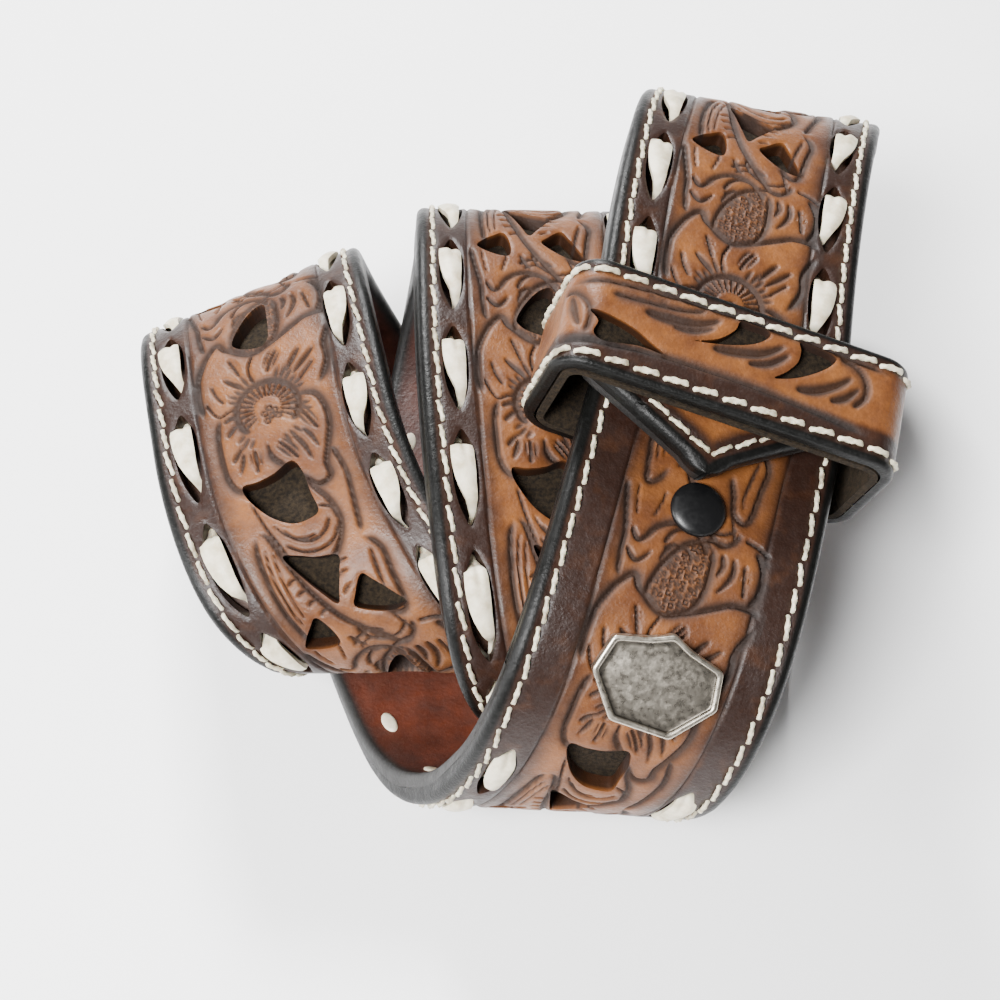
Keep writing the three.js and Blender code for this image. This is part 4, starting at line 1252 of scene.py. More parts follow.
@dataclass
class Seam:
    """A row of thread stitches along a line on a leather surface."""

    name: str
    place: Callable[[Array, Array, Array], Array]
    pitch: float = 4.05
    length: float = 3.9
    radius: float = 0.34
    sides: int = 8
    rings: int = 13

    def stitch(self) -> tuple[Array, Array, Array]:
        """One twisted stitch: offsets along, aside and up, a row for each ring."""
        t = np.linspace(-1, 1, self.rings)[:, None]
        angle = np.linspace(0, 2 * math.pi, self.sides, endpoint=False)[None, :]
        body = np.clip(1 - np.abs(t) ** 4, 0.0, 1) ** 0.5
        along = t * self.length / 2 + 0 * angle
        twist = 1 + 0.24 * np.cos(2 * angle + 2 * math.pi * along / 1.7)
        radius = self.radius * (0.35 + 0.65 * body) * twist
        lift = 0.26 * np.sqrt(np.clip(1 - t**2, 0, 1)) - 0.06 - 0.4 * np.abs(t) ** 8
        return along, radius * np.cos(angle), lift + radius * np.sin(angle)

    def build(self, spots: Array, ways: Array, slot: str) -> bpy.types.Object:
        """Builds the row.

        Args:
            spots: Middles of the stitches, along and across.
            ways: Way that each stitch runs, along and across.
            slot: Not used.

        Returns:
            The object.
        """
        along, aside, up = (part.ravel() for part in self.stitch())
        random = np.random.default_rng(11)
        angle = random.normal(math.radians(7), math.radians(2.5), len(spots))
        turn_x = ways[:, 0] * np.cos(angle) - ways[:, 1] * np.sin(angle)
        turn_y = ways[:, 0] * np.sin(angle) + ways[:, 1] * np.cos(angle)
        scale = random.normal(1, 0.035, len(spots))[:, None]
        x = spots[:, :1] + scale * along * turn_x[:, None] - aside * turn_y[:, None]
        y = spots[:, 1:] + scale * along * turn_y[:, None] + aside * turn_x[:, None]
        depth = np.broadcast_to(-up, x.shape)
        points = self.place(x, y, depth).reshape(-1, 3)
        index = np.arange(self.rings * self.sides).reshape(self.rings, self.sides)
        wrapped = np.concatenate([index, index[:, :1]], 1)
        faces = np.stack([wrapped[:-1, :-1], wrapped[:-1, 1:], wrapped[1:, 1:], wrapped[1:, :-1]], -1)
        faces = faces.reshape(-1, 4)
        caps = []
        for ring, order in ((index[0], 1), (index[-1], -1)):
            for k in range(1, self.sides // 2):
                cap = [ring[k - 1], ring[k], ring[self.sides - 1 - k], ring[(self.sides - k) % self.sides]]
                caps.append(cap[::order])
        faces = np.concatenate([faces, np.array(caps)])
        count = self.rings * self.sides
        every = (faces[None] + count * np.arange(len(spots))[:, None, None]).reshape(-1, 4)
        seam = make_object(self.name, points, every)
        return seam


def strap_seam_line(strap: Strap, pitch: float, start: float) -> tuple[Array, Array]:
    """Middles and ways of the stitches down one edge, round the tip and up the other.

    Args:
        strap: The strap.
        pitch: Distance between two stitches.
        start: Where the row starts along the strap.

    Returns:
        The middles and the ways.
    """
    inset = strap.stitch_inset
    slope = math.atan2(strap.half_width, strap.tip_length)
    side = strap.half_width - inset
    tip = ROLL.length - inset / math.sin(slope)
    shoulder = tip - side / math.tan(slope)
    corners = np.array([(start, side), (shoulder, side), (tip, 0), (shoulder, -side), (start, -side)])
    spots, ways = [], []
    for low, high in zip(corners[:-1], corners[1:]):
        leg = high - low
        size = float(np.linalg.norm(leg))
        count = max(int(round(size / pitch)), 1)
        for k in range(count):
            spots.append(low + leg * (k + 0.5) / count)
            ways.append(leg / size)
    return np.array(spots), np.array(ways)


@dataclass
class Keeper:
    """The tooled loop round the tip and the buckle end."""

    along: float = 740
    width: float = 17.5
    turn: float = 4
    left: float = -24.05
    right: float = 27.54
    up: float = 3.65
    down: float = -18.66
    corner: float = 5
    thickness: float = 1.7
    edge_radius: float = 0.75
    stitch_inset: float = 1.9
    step: float = 0.3

    def __post_init__(self) -> None:
        """Works out the loop's track."""
        at = np.searchsorted(ROLL.plain_along, self.along)
        self.middle = ROLL.plain_point[at]
        outward, run = ROLL.plain_outward[at], ROLL.run[at]
        angle = -math.radians(self.turn)
        self.run = run * math.cos(angle) + np.cross(outward, run) * math.sin(angle)
        self.outward = outward
        self.aside = np.cross(outward, self.run)
        low, high = self.down + self.corner, self.up - self.corner
        near, far = self.left + self.corner, self.right - self.corner
        corners = ((near, low, 270), (near, high, 180), (far, high, 90), (far, low, 0))
        rows = [((self.left + self.right) / 2, self.down, 270.0)]
        for aside, height, start in corners:
            for degrees in np.linspace(start, start - 90, 19):
                bend = math.radians(degrees)
                x = aside + self.corner * math.cos(bend)
                rows.append((x, height + self.corner * math.sin(bend), degrees))
        rows.append((rows[0][0], self.down, -90.0))
        self.track = np.array(rows)
        steps = np.linalg.norm(np.diff(self.track[:, :2], axis=0), axis=1)
        self.lengths = np.concatenate([[0.0], np.cumsum(steps)])
        self.girth = float(self.lengths[-1])

    def place(self, along: Array, across: Array, depth: Array | float) -> Array:
        """Places in space of places on the loop, in millimetres.

        Args:
            along: Places along the loop.
            across: Places across it.
            depth: Depths below its face.

        Returns:
            The places in space.
        """
        along, across, depth = np.broadcast_arrays(
            np.asarray(along, float), np.asarray(across, float), np.asarray(depth, float)
        )
        aside, height, degrees = (np.interp(along, self.lengths, self.track[:, k]) for k in range(3))
        bend = np.radians(degrees)
        aside = aside - depth * np.cos(bend)
        height = height - depth * np.sin(bend)
        return (
            self.middle
            + aside[..., None] * self.aside
            + height[..., None] * self.outward
            - across[..., None] * self.run
            + ROLL.shift
        )

    def relief(self) -> Relief:
        """Relief of the leaf on the loop."""
        relief = Relief(self.girth / 2 - 32, 64, self.width / 2 - 0.4, repeats=False, cell=0.1)
        for stroke in KEEPER_TOOLING:
            moved = tuple((a + self.girth / 2, w) for a, w in stroke.points)
            relief.carve(Stroke(stroke.tool, stroke.width, 1.3 * stroke.depth, moved))
        relief.seed(KEEPER_SEEDS + np.array([self.girth / 2, 0.0]), 0.7)
        relief.soften()
        return relief

    def build_face(self) -> bpy.types.Object:
        """Builds the tooled leather of the loop."""
        half, radius = self.width / 2, self.edge_radius
        angle = np.radians([0, 30, 60, 90])
        edge = half - radius + radius * np.sin(angle)
        drop = radius * (1 - np.cos(angle))
        flat = np.linspace(-(half - radius), half - radius, 52)[1:-1]
        across = np.concatenate([[-half], -edge[::-1], flat, edge, [half]])
        depth = np.concatenate([[self.thickness], drop[::-1], flat * 0, drop, [self.thickness]])
        alongs = np.linspace(0, self.girth, int(self.girth / self.step))
        rows = (np.tile(across, (len(alongs), 1)), np.tile(depth, (len(alongs), 1)))
        leather = Leather(alongs, rows, self.thickness + 0.3)
        for gap in KEEPER_GAPS:
            leather.pierce(gap_outline(gap, self.girth / 2))
        relief = self.relief()
        along, over = leather.spots[..., 0], leather.spots[..., 1]
        carved = relief.sample(along, over) * smooth_share(leather.rim, 0, 0.5)
        line = (half - np.abs(over) - self.stitch_inset) / 0.5
        leather.depth = leather.depth - carved + 0.14 * np.exp(-line * line)
        leather.depth += 0.15 * np.exp(-((leather.rim / 0.3) ** 2))
        spots, depth, faces, foot = leather.surface()
        inset = half - np.abs(spots[:, 1])
        edge_share = 1 - smooth_share(inset, 0.8, 1.25)
        low, high = smooth_share(-spots[:, 1], 2.9, 4.4), smooth_share(spots[:, 1], 5.8, 6.8)
        border = np.maximum(low, high)
        # painted shade: a dark halo round the keeper's cuts, from the blurred relief, added to the antique
        # stain
        shade_halo = np.clip(-2.2 * relief.sample(spots[:, 0], spots[:, 1], relief.soft), 0, 0.4)
        stain_and_shade = np.clip(shade_halo - relief.sample(spots[:, 0], spots[:, 1]) / 0.6, 0, 1)
        marks = np.stack([edge_share, border, stain_and_shade, foot.astype(float)], 1)
        face = make_object("keeper", self.place(spots[:, 0], spots[:, 1], depth), faces, marks)
        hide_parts("keeper_face")
        return face

    def build_seams(self) -> bpy.types.Object:
        """Builds the stitches along both edges of the loop."""
        pitch = self.girth / round(self.girth / 4.3)
        places = np.arange(round(self.girth / pitch)) * pitch
        spots, ways = [], []
        for hand in (-1, 1):
            for at in places:
                spots.append((at, hand * (self.width / 2 - self.stitch_inset)))
                ways.append((1.0, 0.0))
        seam = Seam("keeper_stitches", self.place, length=4.0, radius=0.4)
        return seam.build(np.array(spots), np.array(ways), "cream_lace")


KEEPER_TOOLING: tuple[Stroke, ...] = (
    # lines beside the stitches
    Stroke(Tool.BEVEL_LEFT, 0.7, 0.5, (
        (-28, -5.4), (-20, -4.7), (-12, -3.7), (0, -3.5), (10, -4.1), (20, -5.2),
    )),
    Stroke(Tool.BEVEL_RIGHT, 0.6, 0.45, ((-27, 4.4), (-15, 6), (0, 6.6), (15, 6.2), (22, 5.6))),
    # first leaf
    Stroke(Tool.TEARDROP, 1.5, 0.62, ((-15.5, 2.5), (-11, 2.6), (-7, 3.4), (-3.9, 5.3))),
    Stroke(Tool.TEARDROP, 1.1, 0.5, ((-11, 1.6), (-7.6, 2.1), (-4.7, 3.6))),
    Stroke(Tool.BEVEL_RIGHT, 0.9, 0.45, ((-20.5, 3.6), (-15, 4.1), (-10.5, 4.6), (-7.6, 5.4), (-6.6, 6.2))),
    # second leaf
    Stroke(Tool.TEARDROP, 1.4, 0.62, ((-5, 0.3), (-1, 1), (2.8, 2.2), (5.8, 4.7))),
    Stroke(Tool.TEARDROP, 1.1, 0.5, ((0.6, -0.2), (4, 1), (6.7, 3.6))),
    # third leaf
    Stroke(Tool.TEARDROP, 1.3, 0.6, ((8, -1.6), (11, -0.9), (14, 1), (16.3, 3.4))),
    Stroke(Tool.TEARDROP, 1.1, 0.5, ((13.3, -1.7), (15.8, -0.3), (17.5, 2))),
    Stroke(Tool.BEVEL_RIGHT, 1.1, 0.5, ((13.6, 5.8), (16.5, 5.2), (18.4, 3.2), (18.5, 0.6), (16.8, -1.6))),
    # leaf that turns under at the left
    Stroke(Tool.TEARDROP, 1.2, 0.5, ((-26.6, 2.6), (-25.2, -0.4), (-23.8, -2.8))),
    Stroke(Tool.BEVEL_LEFT, 0.8, 0.4, ((-29, 3.4), (-26, 3), (-23.4, 1.1), (-22.6, -1.4), (-23, -3.9))),
)
KEEPER_SEEDS = np.array(
    [(-20, 4.5), (-15, 5.3), (-8, 6), (-8.5, 5.4), (-11, 4.9), (-15, 4.4)], float,
)


@dataclass
class Snap:
    """The black snap cap that holds the fold."""

    along: float = 38.9
    radius: float = 4
    height: float = 1.6

    def build(self) -> bpy.types.Object:
        """Builds the domed cap with its post."""
        frame = Seat.on_strap(self.along, 0, self.radius, self.radius)
        angle = np.radians(np.linspace(0, 90, 16))
        dome = [(self.radius * math.cos(a), 0.4 + 1.2 * math.sin(a) ** 0.9) for a in angle]
        rim = [(self.radius - 0.22, 0.0), (self.radius - 0.04, 0.1), (self.radius, 0.26)]
        profile = [(0.02, -5.6), (1.3, -5.6), (1.3, 0.02), *rim, *dome[:-1], (0.02, self.height)]
        cap = turned("snap", profile, 64, frame)
        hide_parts("snap_cap")
        return cap


@dataclass
class Seat:
    """A place on the strap where a fitting stands: its middle and its three ways."""

    middle: Array
    aside: Array
    outward: Array
    run: Array

    @classmethod
    def on_strap(cls, along: float, across: float, half_along: float, half_across: float) -> "Seat":
        """Finds the seat over bent leather.

        Args:
            along: Length along the strap.
            across: Distance across it.
            half_along: Half of the fitting's size along the strap.
            half_across: Half of its size across.

        Returns:
            The seat, a small gap above the highest leather below the fitting.
        """
        at = np.searchsorted(ROLL.plain_along, along)
        outward, run = ROLL.plain_outward[at], ROLL.run[at]
        aside = ROLL.across[at]
        point = ROLL.place(along, across, 0)
        grid = np.stack(np.meshgrid([-1, -0.5, 0, 0.5, 1], [-1, -0.5, 0, 0.5, 1]), -1).reshape(-1, 2)
        below = ROLL.place(along + half_along * grid[:, 0], across + half_across * grid[:, 1], 0)
        rise = float(((below - point) @ outward).max()) + 0.3
        return cls(point + outward * rise, aside, outward, run)

    def spot(self, x: Array, y: Array, z: Array) -> Array:
        """Places in space of places on the seat: aside, outward and along."""
        parts = ((x, self.aside), (y, self.outward), (z, self.run))
        return self.middle + sum(np.asarray(size)[..., None] * way for size, way in parts)


def turned(name: str, profile: list[tuple[float, float]], sides: int, seat: Seat) -> bpy.types.Object:
    """Turns a profile round the outward way of a seat.

    Args:
        name: Name of the piece.
        profile: Radius and height of each step.
        sides: Count of points in a ring.
        seat: Where the piece stands.

    Returns:
        The object.
    """
    radius, height = np.array(profile).T
    angle = np.linspace(0, 2 * math.pi, sides, endpoint=False)
    x, z = np.outer(radius, np.cos(angle)), np.outer(radius, np.sin(angle))
    points = seat.spot(x, np.repeat(height[:, None], sides, 1), z).reshape(-1, 3)
    index = np.arange(len(profile) * sides).reshape(len(profile), sides)
    index = np.concatenate([index, index[:, :1]], 1)
    faces = np.stack([index[:-1, :-1], index[1:, :-1], index[1:, 1:], index[:-1, 1:]], -1)
    return make_object(name, points, faces.reshape(-1, 4))


@dataclass
class Plate:
    """The small silver plate with a raised rim."""

    along: float = 63.5
    across: float = 1
    length: float = 18.6
    height: float = 14.2
    thickness: float = 1.2
    rim: float = 0.9
    rim_height: float = 0.55
    turn: float = -2

    def outline(self, inset: float) -> Array:
        """Outline of the plate, drawn in by an inset.

        Args:
            inset: Distance from the outer edge.

        Returns:
            The points of the outline.
        """
        corners = np.array([(-0.5, -0.08), (-0.44, 0.3), (-0.16, 0.4), (0, 0.5), (0.16, 0.4),
                            (0.44, 0.3), (0.5, -0.08), (0.24, -0.5), (-0.24, -0.5)])
        size = np.array([self.length - 2 * inset, self.height - 2 * inset])
        corners = corners * size
        dense = []
        for k, corner in enumerate(corners):
            before, ahead = corners[k - 1], corners[(k + 1) % len(corners)]
            reach = 0.55
            start = corner + unit(before - corner) * reach
            stop = corner + unit(ahead - corner) * reach
            for share in np.linspace(0, 1, 6):
                low, high = start + (corner - start) * share, corner + (stop - corner) * share
                dense.append(low + (high - low) * share)
        return np.array(dense)

    def build(self) -> bpy.types.Object:
        """Builds the plate with its rounded rim."""
        seat = Seat.on_strap(self.along, self.across, self.height / 2, self.length / 2)
        top = self.thickness + self.rim_height
        rings = ((0.5, 0.0), (0.12, 0.04), (0.0, 0.2), (0.0, top - 0.3), (0.06, top - 0.12),
                 (0.22, top - 0.01), (self.rim - 0.25, top), (self.rim - 0.08, top - 0.1),
                 (self.rim, top - 0.25), (self.rim + 0.06, self.thickness + 0.08),
                 (self.rim + 0.25, self.thickness), (self.rim + 0.9, self.thickness + 0.05),
                 (self.rim + 2.2, self.thickness + 0.2), (self.rim + 4, self.thickness + 0.3))
        angle = math.radians(self.turn)
        points = []
        for inset, rise in rings:
            flat = self.outline(inset)
            x = flat[:, 0] * math.cos(angle) + flat[:, 1] * -math.sin(angle)
            z = flat[:, 0] * math.sin(angle) + flat[:, 1] * math.cos(angle)
            points.append(seat.spot(x, np.full_like(x, rise), -z))
        size = len(points[0])
        middle = seat.spot(np.zeros(1), np.full(1, self.thickness + 0.33), np.zeros(1))
        under = seat.spot(np.zeros(1), np.zeros(1), np.zeros(1))
        stacked = np.concatenate([*points, middle, under])
        index = np.arange(len(rings) * size).reshape(len(rings), size)
        index = np.concatenate([index, index[:, :1]], 1)
        faces = np.stack([index[:-1, :-1], index[:-1, 1:], index[1:, 1:], index[1:, :-1]], -1)
        hub, base = len(stacked) - 2, len(stacked) - 1
        lids = [[index[-1, k], index[-1, k + 1], hub, hub] for k in range(size)]
        lids += [[index[0, k + 1], index[0, k], base, base] for k in range(size)]
        quads = [list(face) for face in faces.reshape(-1, 4)] + [lid[:3] for lid in lids]
        tarnish = np.array([0, 0, 0, 0, 0, 0, 0, 0.2, 0.7, 1, 0.9, 0.45, 0.15, 0.05])
        marks = np.zeros((len(stacked), 4))
        marks[: len(rings) * size, 0] = np.repeat(tarnish, size)
        plate = make_mixed("plate", stacked, quads, marks)
        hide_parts("concho_plate")
        return plate


def make_mixed(
    name: str, points: Array, faces: list[list[int]], marks: Array
) -> bpy.types.Object:
    """Makes an object from faces of three and four points, with its marks.

    Args:
        name: Name of the object.
        points: Its points, in millimetres.
        faces: Its faces.
        marks: Shares for the finish, a row for each point.

    Returns:
        The object.
    """
    mesh = bpy.data.meshes.new(name)
    mesh.from_pydata((points * MM).tolist(), [], [[int(k) for k in face] for face in faces])
    mesh.polygons.foreach_set("use_smooth", np.ones(len(mesh.polygons), bool))
    mesh.set_sharp_from_angle(angle=math.radians(40))
    layer = mesh.color_attributes.new("marks", "FLOAT_COLOR", "POINT")
    layer.data.foreach_set("color", marks.astype(np.float32).ravel())
    made = bpy.data.objects.new(name, mesh)
    bpy.context.scene.collection.objects.link(made)
    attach(made, "root")
    return made


class Graph:
    """A node material and its shader."""

    def __init__(self, name: str) -> None:
        """Starts a material with the shader alone."""
        self.material = bpy.data.materials.new(name)
        self.material.use_nodes = True
        self.tree = self.material.node_tree
        self.shader = self.tree.nodes["Principled BSDF"]

    def node(self, kind: str, inputs: dict | None = None, **settings: object) -> bpy.types.Node:
        """Adds a node.

        Args:
            kind: Type of the node, without its prefix.
            inputs: Values or outputs for its inputs.
            **settings: Settings of the node.

        Returns:
            The node.
        """
        node = self.tree.nodes.new("ShaderNode" + kind)
        for key, value in settings.items():
            setattr(node, key, value)
        for key, value in (inputs or {}).items():
            self.feed(node.inputs[key], value)
        return node

    def feed(self, socket: bpy.types.NodeSocket, value: object) -> None:
        """Links an output to a socket, or sets its value."""
        if isinstance(value, bpy.types.NodeSocket):
            self.tree.links.new(value, socket)
        else:
            socket.default_value = value

    def where(self) -> bpy.types.NodeSocket:
        """Place on the object, in metres."""
        return self.node("TexCoord").outputs["Object"]

    def noise(self, size: float, detail: float = 3, stretch: tuple | None = None) -> bpy.types.NodeSocket:
        """Noise with marks of a size in millimetres, from 0 to 1."""
        place = self.where()
        if stretch is not None:
            place = self.node("Mapping", {"Vector": place, "Scale": stretch}).outputs["Vector"]
        inputs = {"Vector": place, "Scale": 1000 / size, "Detail": detail, "Roughness": 0.6}
        return self.node("TexNoise", inputs).outputs["Fac"]

    def cells(self, size: float) -> bpy.types.NodeSocket:
        """Distance to the middle of cells of a size in millimetres."""
        inputs = {"Vector": self.where(), "Scale": 1000 / size, "Randomness": 1.0}
        return self.node("TexVoronoi", inputs).outputs["Distance"]

    def ramp(self, value: object, low: float, high: float, start: float = 0, stop: float = 1) -> object:
        """Maps a value from one range to another, kept within it."""
        inputs = {"Value": value, "From Min": low, "From Max": high, "To Min": start, "To Max": stop}
        return self.node("MapRange", inputs).outputs["Result"]

    def blend(self, share: object, first: object, second: object, way: str = "MIX") -> object:
        """Mixes two colours."""
        node = self.node("Mix", data_type="RGBA", blend_type=way, clamp_factor=True)
        self.feed(node.inputs[0], share)
        self.feed(node.inputs[6], first)
        self.feed(node.inputs[7], second)
        return node.outputs[2]

    def math(self, way: str, first: object, second: object) -> object:
        """Works out a sum on two values."""
        node = self.node("Math", operation=way)
        self.feed(node.inputs[0], first)
        self.feed(node.inputs[1], second)
        return node.outputs[0]

    def bump(self, height: object, distance: float, after: object = None) -> object:
        """Turns a height into a bump of a distance in millimetres."""
        inputs = {"Height": height, "Distance": distance * MM, "Strength": 1.0}
        if after is not None:
            inputs["Normal"] = after
        return self.node("Bump", inputs).outputs["Normal"]

    def marks(self) -> tuple[object, object, object, object]:
        """Shares of edge paint, border burnish, antique stain with painted shade round the cuts, and raw
        leather.
        """
        node = self.node("Attribute", attribute_name="marks")
        parts = self.node("SeparateColor", {"Color": node.outputs["Color"]})
        return (*parts.outputs, node.outputs["Alpha"])

    def finish(self, **inputs: object) -> bpy.types.Material:
        """Feeds the shader by the names of its inputs and returns the material."""
        names = {"colour": "Base Color", "rough": "Roughness", "metal": "Metallic", "normal": "Normal",
                 "coat": "Coat Weight", "coat_rough": "Coat Roughness", "sheen": "Sheen Weight",
                 "sheen_rough": "Sheen Roughness", "sheen_tint": "Sheen Tint",
                 "specular": "Specular IOR Level", "under": "Subsurface Weight",
                 "under_scale": "Subsurface Scale"}
        for key, value in inputs.items():
            self.feed(self.shader.inputs[names[key]], value)
        return self.material


def shade(red: int, green: int, blue: int) -> tuple[float, float, float, float]:
    """Colour for a shader from the usual 0 to 255 shares."""
    parts = [value / 255 for value in (red, green, blue)]
    linear = [v / 12.92 if v <= 0.04045 else ((v + 0.055) / 1.055) ** 2.4 for v in parts]
    return (*linear, 1.0)


@dataclass(frozen=True)
class TooledLeather:
    """Antiqued leather: tan in the middle, dark at the border, black at the edge."""

    name: str = "antiqued tooled leather"
    tan: tuple = shade(112, 68, 33)
    warm: tuple = shade(84, 48, 24)
    border: tuple = shade(34, 19, 13)
    # colour of the antique stain in the cuts and of the painted shade round them
    stain_and_shade: tuple = shade(19, 10, 6)
    edge: tuple = shade(8, 8, 7)
    raw: tuple = shade(34, 19, 11)

    def make(self) -> bpy.types.Material:
        """Makes the material."""
        graph = Graph(self.name)
        edge, border, stain_and_shade, raw = graph.marks()
        colour = graph.blend(graph.ramp(graph.noise(7), 0.35, 0.65), self.tan, self.warm)
        uneven = graph.math("ADD", border, graph.ramp(graph.noise(4), 0.3, 0.7, -0.14, 0.14))
        colour = graph.blend(graph.ramp(uneven, 0.02, 0.98), colour, self.border)
        # antique stain in the cuts and painted shade round them
        colour = graph.blend(graph.ramp(stain_and_shade, 0.12, 0.95, 0, 0.86), colour, self.stain_and_shade)
        colour = graph.blend(graph.ramp(raw, 0, 0.3, 0, 0.92), colour, self.raw)
        colour = graph.blend(edge, colour, self.edge)
        speck = graph.ramp(graph.noise(0.5, 2), 0.35, 0.7, 0.86, 1.06)
        grey = graph.node("CombineColor", {0: speck, 1: speck, 2: speck}).outputs[0]
        colour = graph.blend(1.0, colour, grey, "MULTIPLY")
        grain = graph.bump(graph.cells(0.55), 0.03)
        grain = graph.bump(graph.noise(0.25, 4), 0.05, grain)
        grain = graph.bump(graph.noise(3.5, 3), 0.16, grain)
        rough = graph.ramp(graph.noise(1.6), 0.3, 0.7, 0.34, 0.5)
        rough = graph.math("ADD", rough, graph.ramp(stain_and_shade, 0.1, 0.8, 0, 0.3))
        shine = graph.ramp(edge, 0, 1, 0.3, 0.2)
        return graph.finish(colour=colour, rough=rough, normal=grain, specular=shine)


@dataclass(frozen=True)
class LiningLeather:
    """Smooth reddish brown lining with a dark edge."""

    name: str = "reddish lining leather"
    red: tuple = shade(78, 33, 16)
    dark: tuple = shade(54, 22, 11)
    raw: tuple = shade(58, 34, 20)
    edge: tuple = shade(20, 19, 18)

    def make(self) -> bpy.types.Material:
        """Makes the material."""
        graph = Graph(self.name)
        edge, seam, _, raw = graph.marks()
        colour = graph.blend(graph.ramp(graph.noise(6), 0.35, 0.65), self.red, self.dark)
        colour = graph.blend(raw, colour, self.raw)
        colour = graph.blend(graph.ramp(seam, 0, 1, 0, 0.45), colour, self.dark)
        colour = graph.blend(edge, colour, self.edge)
        grain = graph.bump(graph.cells(0.8), 0.04)
        grain = graph.bump(graph.noise(0.4, 4), 0.06, grain)
        rough = graph.ramp(graph.noise(2.5), 0.3, 0.7, 0.48, 0.62)
        return graph.finish(colour=colour, rough=rough, normal=grain)


@dataclass(frozen=True)
class Suede:
    """Suede with a short nap."""

    name: str
    nap: tuple
    deep: tuple

    def make(self) -> bpy.types.Material:
        """Makes the material."""
        graph = Graph(self.name)
        colour = graph.blend(graph.ramp(graph.noise(0.6, 4), 0.35, 0.65), self.deep, self.nap)
        normal = graph.bump(graph.noise(0.3, 5), 0.2)
        return graph.finish(colour=colour, rough=0.95, normal=normal, sheen=0.5, sheen_rough=0.4,
                            sheen_tint=self.nap, specular=0.15)


@dataclass(frozen=True)
class Cream:
    """Cream thread or lace, a little grubby."""

    name: str
    clean: tuple = shade(214, 205, 182)
    grubby: tuple = shade(176, 163, 134)
    fibre: float = 0.6

    def make(self) -> bpy.types.Material:
        """Makes the material."""
        graph = Graph(self.name)
        colour = graph.blend(graph.ramp(graph.noise(2.2, 4), 0.4, 0.7), self.clean, self.grubby)
        normal = graph.bump(graph.noise(self.fibre, 3), 0.025)
        return graph.finish(colour=colour, rough=0.5, normal=normal, under=0.08, under_scale=0.0008)


@dataclass(frozen=True)
class BlackSnap:
    """Black painted metal, nearly matt."""

    name: str = "black painted metal"

    def make(self) -> bpy.types.Material:
        """Makes the material."""
        graph = Graph(self.name)
        rough = graph.ramp(graph.noise(0.8), 0.3, 0.7, 0.3, 0.45)
        normal = graph.bump(graph.noise(0.4), 0.012)
        return graph.finish(colour=shade(9, 9, 10), rough=rough, normal=normal, specular=0.35)


@dataclass(frozen=True)
class AntiqueSilver:
    """Worn silver with dark tarnish in its low places."""

    name: str = "antique silver"

    def make(self) -> bpy.types.Material:
        """Makes the material."""
        graph = Graph(self.name)
        low = graph.marks()[0]
        tarnish = graph.ramp(graph.noise(3.6, 3), 0.4, 0.75, 0, 0.16)
        tarnish = graph.math("ADD", tarnish, graph.ramp(low, 0, 1, 0, 0.75))
        colour = graph.blend(tarnish, shade(188, 180, 166), shade(44, 39, 34))
        rough = graph.ramp(graph.noise(0.9, 4), 0.3, 0.7, 0.22, 0.46)
        scratches = graph.noise(0.7, 2, (1.0, 8.0, 1.0))
        normal = graph.bump(scratches, 0.006, graph.bump(graph.noise(4.5, 2), 0.05))
        return graph.finish(colour=colour, rough=rough, normal=normal, metal=1.0)


@dataclass(frozen=True)
class PaleFloor:
    """Plain pale floor."""

    name: str = "pale floor"

    def make(self) -> bpy.types.Material:
        """Makes the material."""
        graph = Graph(self.name)
        tone = graph.blend(graph.ramp(graph.noise(300), 0.3, 0.7), shade(252, 252, 252), shade(249, 249, 250))
        return graph.finish(colour=tone, rough=0.75, specular=0.2)


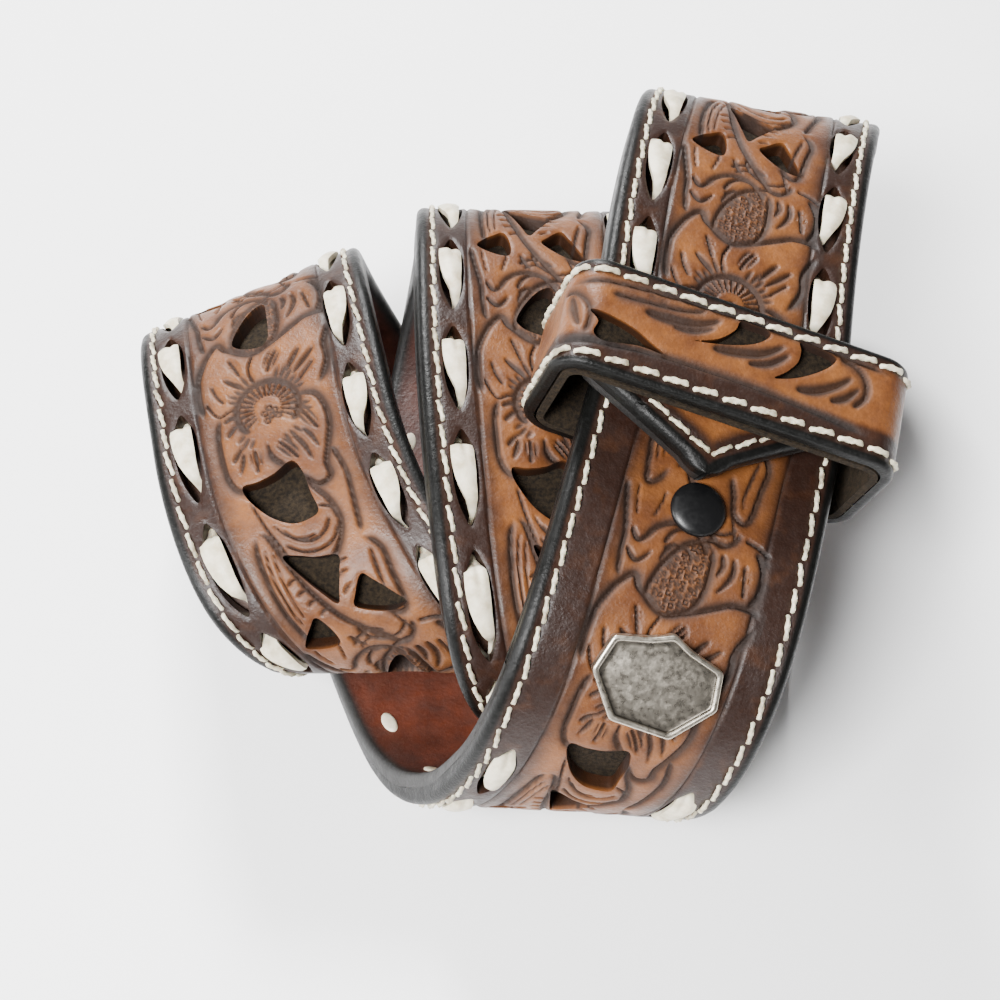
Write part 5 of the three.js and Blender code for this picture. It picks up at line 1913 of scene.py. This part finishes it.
@dataclass
class Studio:
    """The floor, the soft lights and the camera."""

    target: tuple[float, float, float] = (-2.55, -7.8, 27.73)
    distance: float = 300
    elevation: float = 60
    lens: float = 68.6

    def build(self) -> None:
        """Builds the studio."""
        self.lay_floor()
        self.add_softbox("softbox behind", (-110, 430, 430), 130, 9.0)
        self.add_softbox("softbox front", (-230, -330, 590), 240, 15.0)
        self.add_softbox("softbox left", (-560, -160, 300), 220, 4.0)
        world = bpy.data.worlds.new("pale room")
        world.use_nodes = True
        world.node_tree.nodes["Background"].inputs["Color"].default_value = (1, 1, 1, 1)
        world.node_tree.nodes["Background"].inputs["Strength"].default_value = 0.22
        bpy.context.scene.world = world
        self.set_camera()

    def lay_floor(self) -> None:
        """Lays the pale floor under the belt."""
        mesh = bpy.data.meshes.new("floor")
        mesh.from_pydata([(-3, -3, 0), (3, -3, 0), (3, 3, 0), (-3, 3, 0)], [], [(0, 1, 2, 3)])
        mesh.materials.append(PaleFloor().make())
        floor = bpy.data.objects.new("floor", mesh)
        bpy.context.scene.collection.objects.link(floor)

    def add_softbox(self, name: str, place: tuple[float, float, float], size: float, power: float) -> None:
        """Hangs a square soft light that looks at the belt.

        Args:
            name: Its name.
            place: Where it hangs, in millimetres.
            size: Its side, in millimetres.
            power: Its power in watts.
        """
        lamp = bpy.data.lights.new(name, "AREA")
        lamp.shape = "SQUARE"
        lamp.size = size * MM
        lamp.energy = power
        light = bpy.data.objects.new(name, lamp)
        light.location = Vector(place) * MM
        look = Vector(self.target) * MM - light.location
        light.rotation_euler = look.to_track_quat("-Z", "Y").to_euler()
        bpy.context.scene.collection.objects.link(light)

    def set_camera(self) -> None:
        """Sets the camera at the photograph's angle."""
        camera = bpy.data.cameras.new("camera")
        camera.lens = self.lens
        camera.sensor_width = 36
        camera.clip_start = 0.01
        camera.dof.use_dof = False
        eye = bpy.data.objects.new("camera", camera)
        tilt = math.radians(self.elevation)
        way = Vector((0, -math.cos(tilt), math.sin(tilt)))
        eye.location = (Vector(self.target) + way * self.distance) * MM
        eye.rotation_euler = (-way).to_track_quat("-Z", "Y").to_euler()
        bpy.context.scene.collection.objects.link(eye)
        bpy.context.scene.camera = eye


FINISHES = {
    "leather_face": TooledLeather(),
    "leather_lining": LiningLeather(),
    "dark_suede": Suede("dark suede", shade(40, 32, 22), shade(17, 13, 9)),
    "cream_lace": Cream("cream lace"),
    "thread": Cream("cream waxed thread", shade(204, 196, 172), shade(132, 122, 100), 0.3),
    "black_snap": BlackSnap(),
    "antique_silver": AntiqueSilver(),
}


def dress(piece: bpy.types.Object, material: bpy.types.Material) -> None:
    """Puts a material on a piece and reports it."""
    piece.data.materials.clear()
    piece.data.materials.append(material)
    log.info("%s: %d faces in %s", piece.name, len(piece.data.polygons), material.name)


def main() -> None:
    """Builds the belt piece by piece, dresses it and sets the studio."""
    logging.basicConfig(level=logging.INFO, format="%(message)s")
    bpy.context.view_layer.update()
    ROLL.settle()
    strap = Strap()
    leather, lining = FINISHES["leather_face"].make(), FINISHES["leather_lining"].make()
    suede = FINISHES["dark_suede"].make()
    cream = FINISHES["cream_lace"].make()
    thread = FINISHES["thread"].make()
    for face in strap.build_face(belt_relief()):
        dress(face, leather)
    dress(strap.build_lining(), lining)
    dress(strap.build_recess(), lining)
    dress(strap.build_inlay(), suede)
    for hand in (-1, 1):
        lacing = Lacing(strap, hand)
        dress(lacing.build(), cream)
        dress(lacing.build_back(), cream)
    spots, ways = strap_seam_line(strap, Seam.pitch, 0.5)
    dress(Seam("face_stitches", ROLL.place).build(spots, ways, "cream_lace"), thread)
    keeper = Keeper()
    dress(keeper.build_face(), leather)
    dress(keeper.build_seams(), thread)
    dress(bpy.data.objects["keeper_lining"], suede)
    dress(Snap().build(), FINISHES["black_snap"].make())
    dress(Plate().build(), FINISHES["antique_silver"].make())
    Studio().build()


if __name__ == "__main__":
    main()
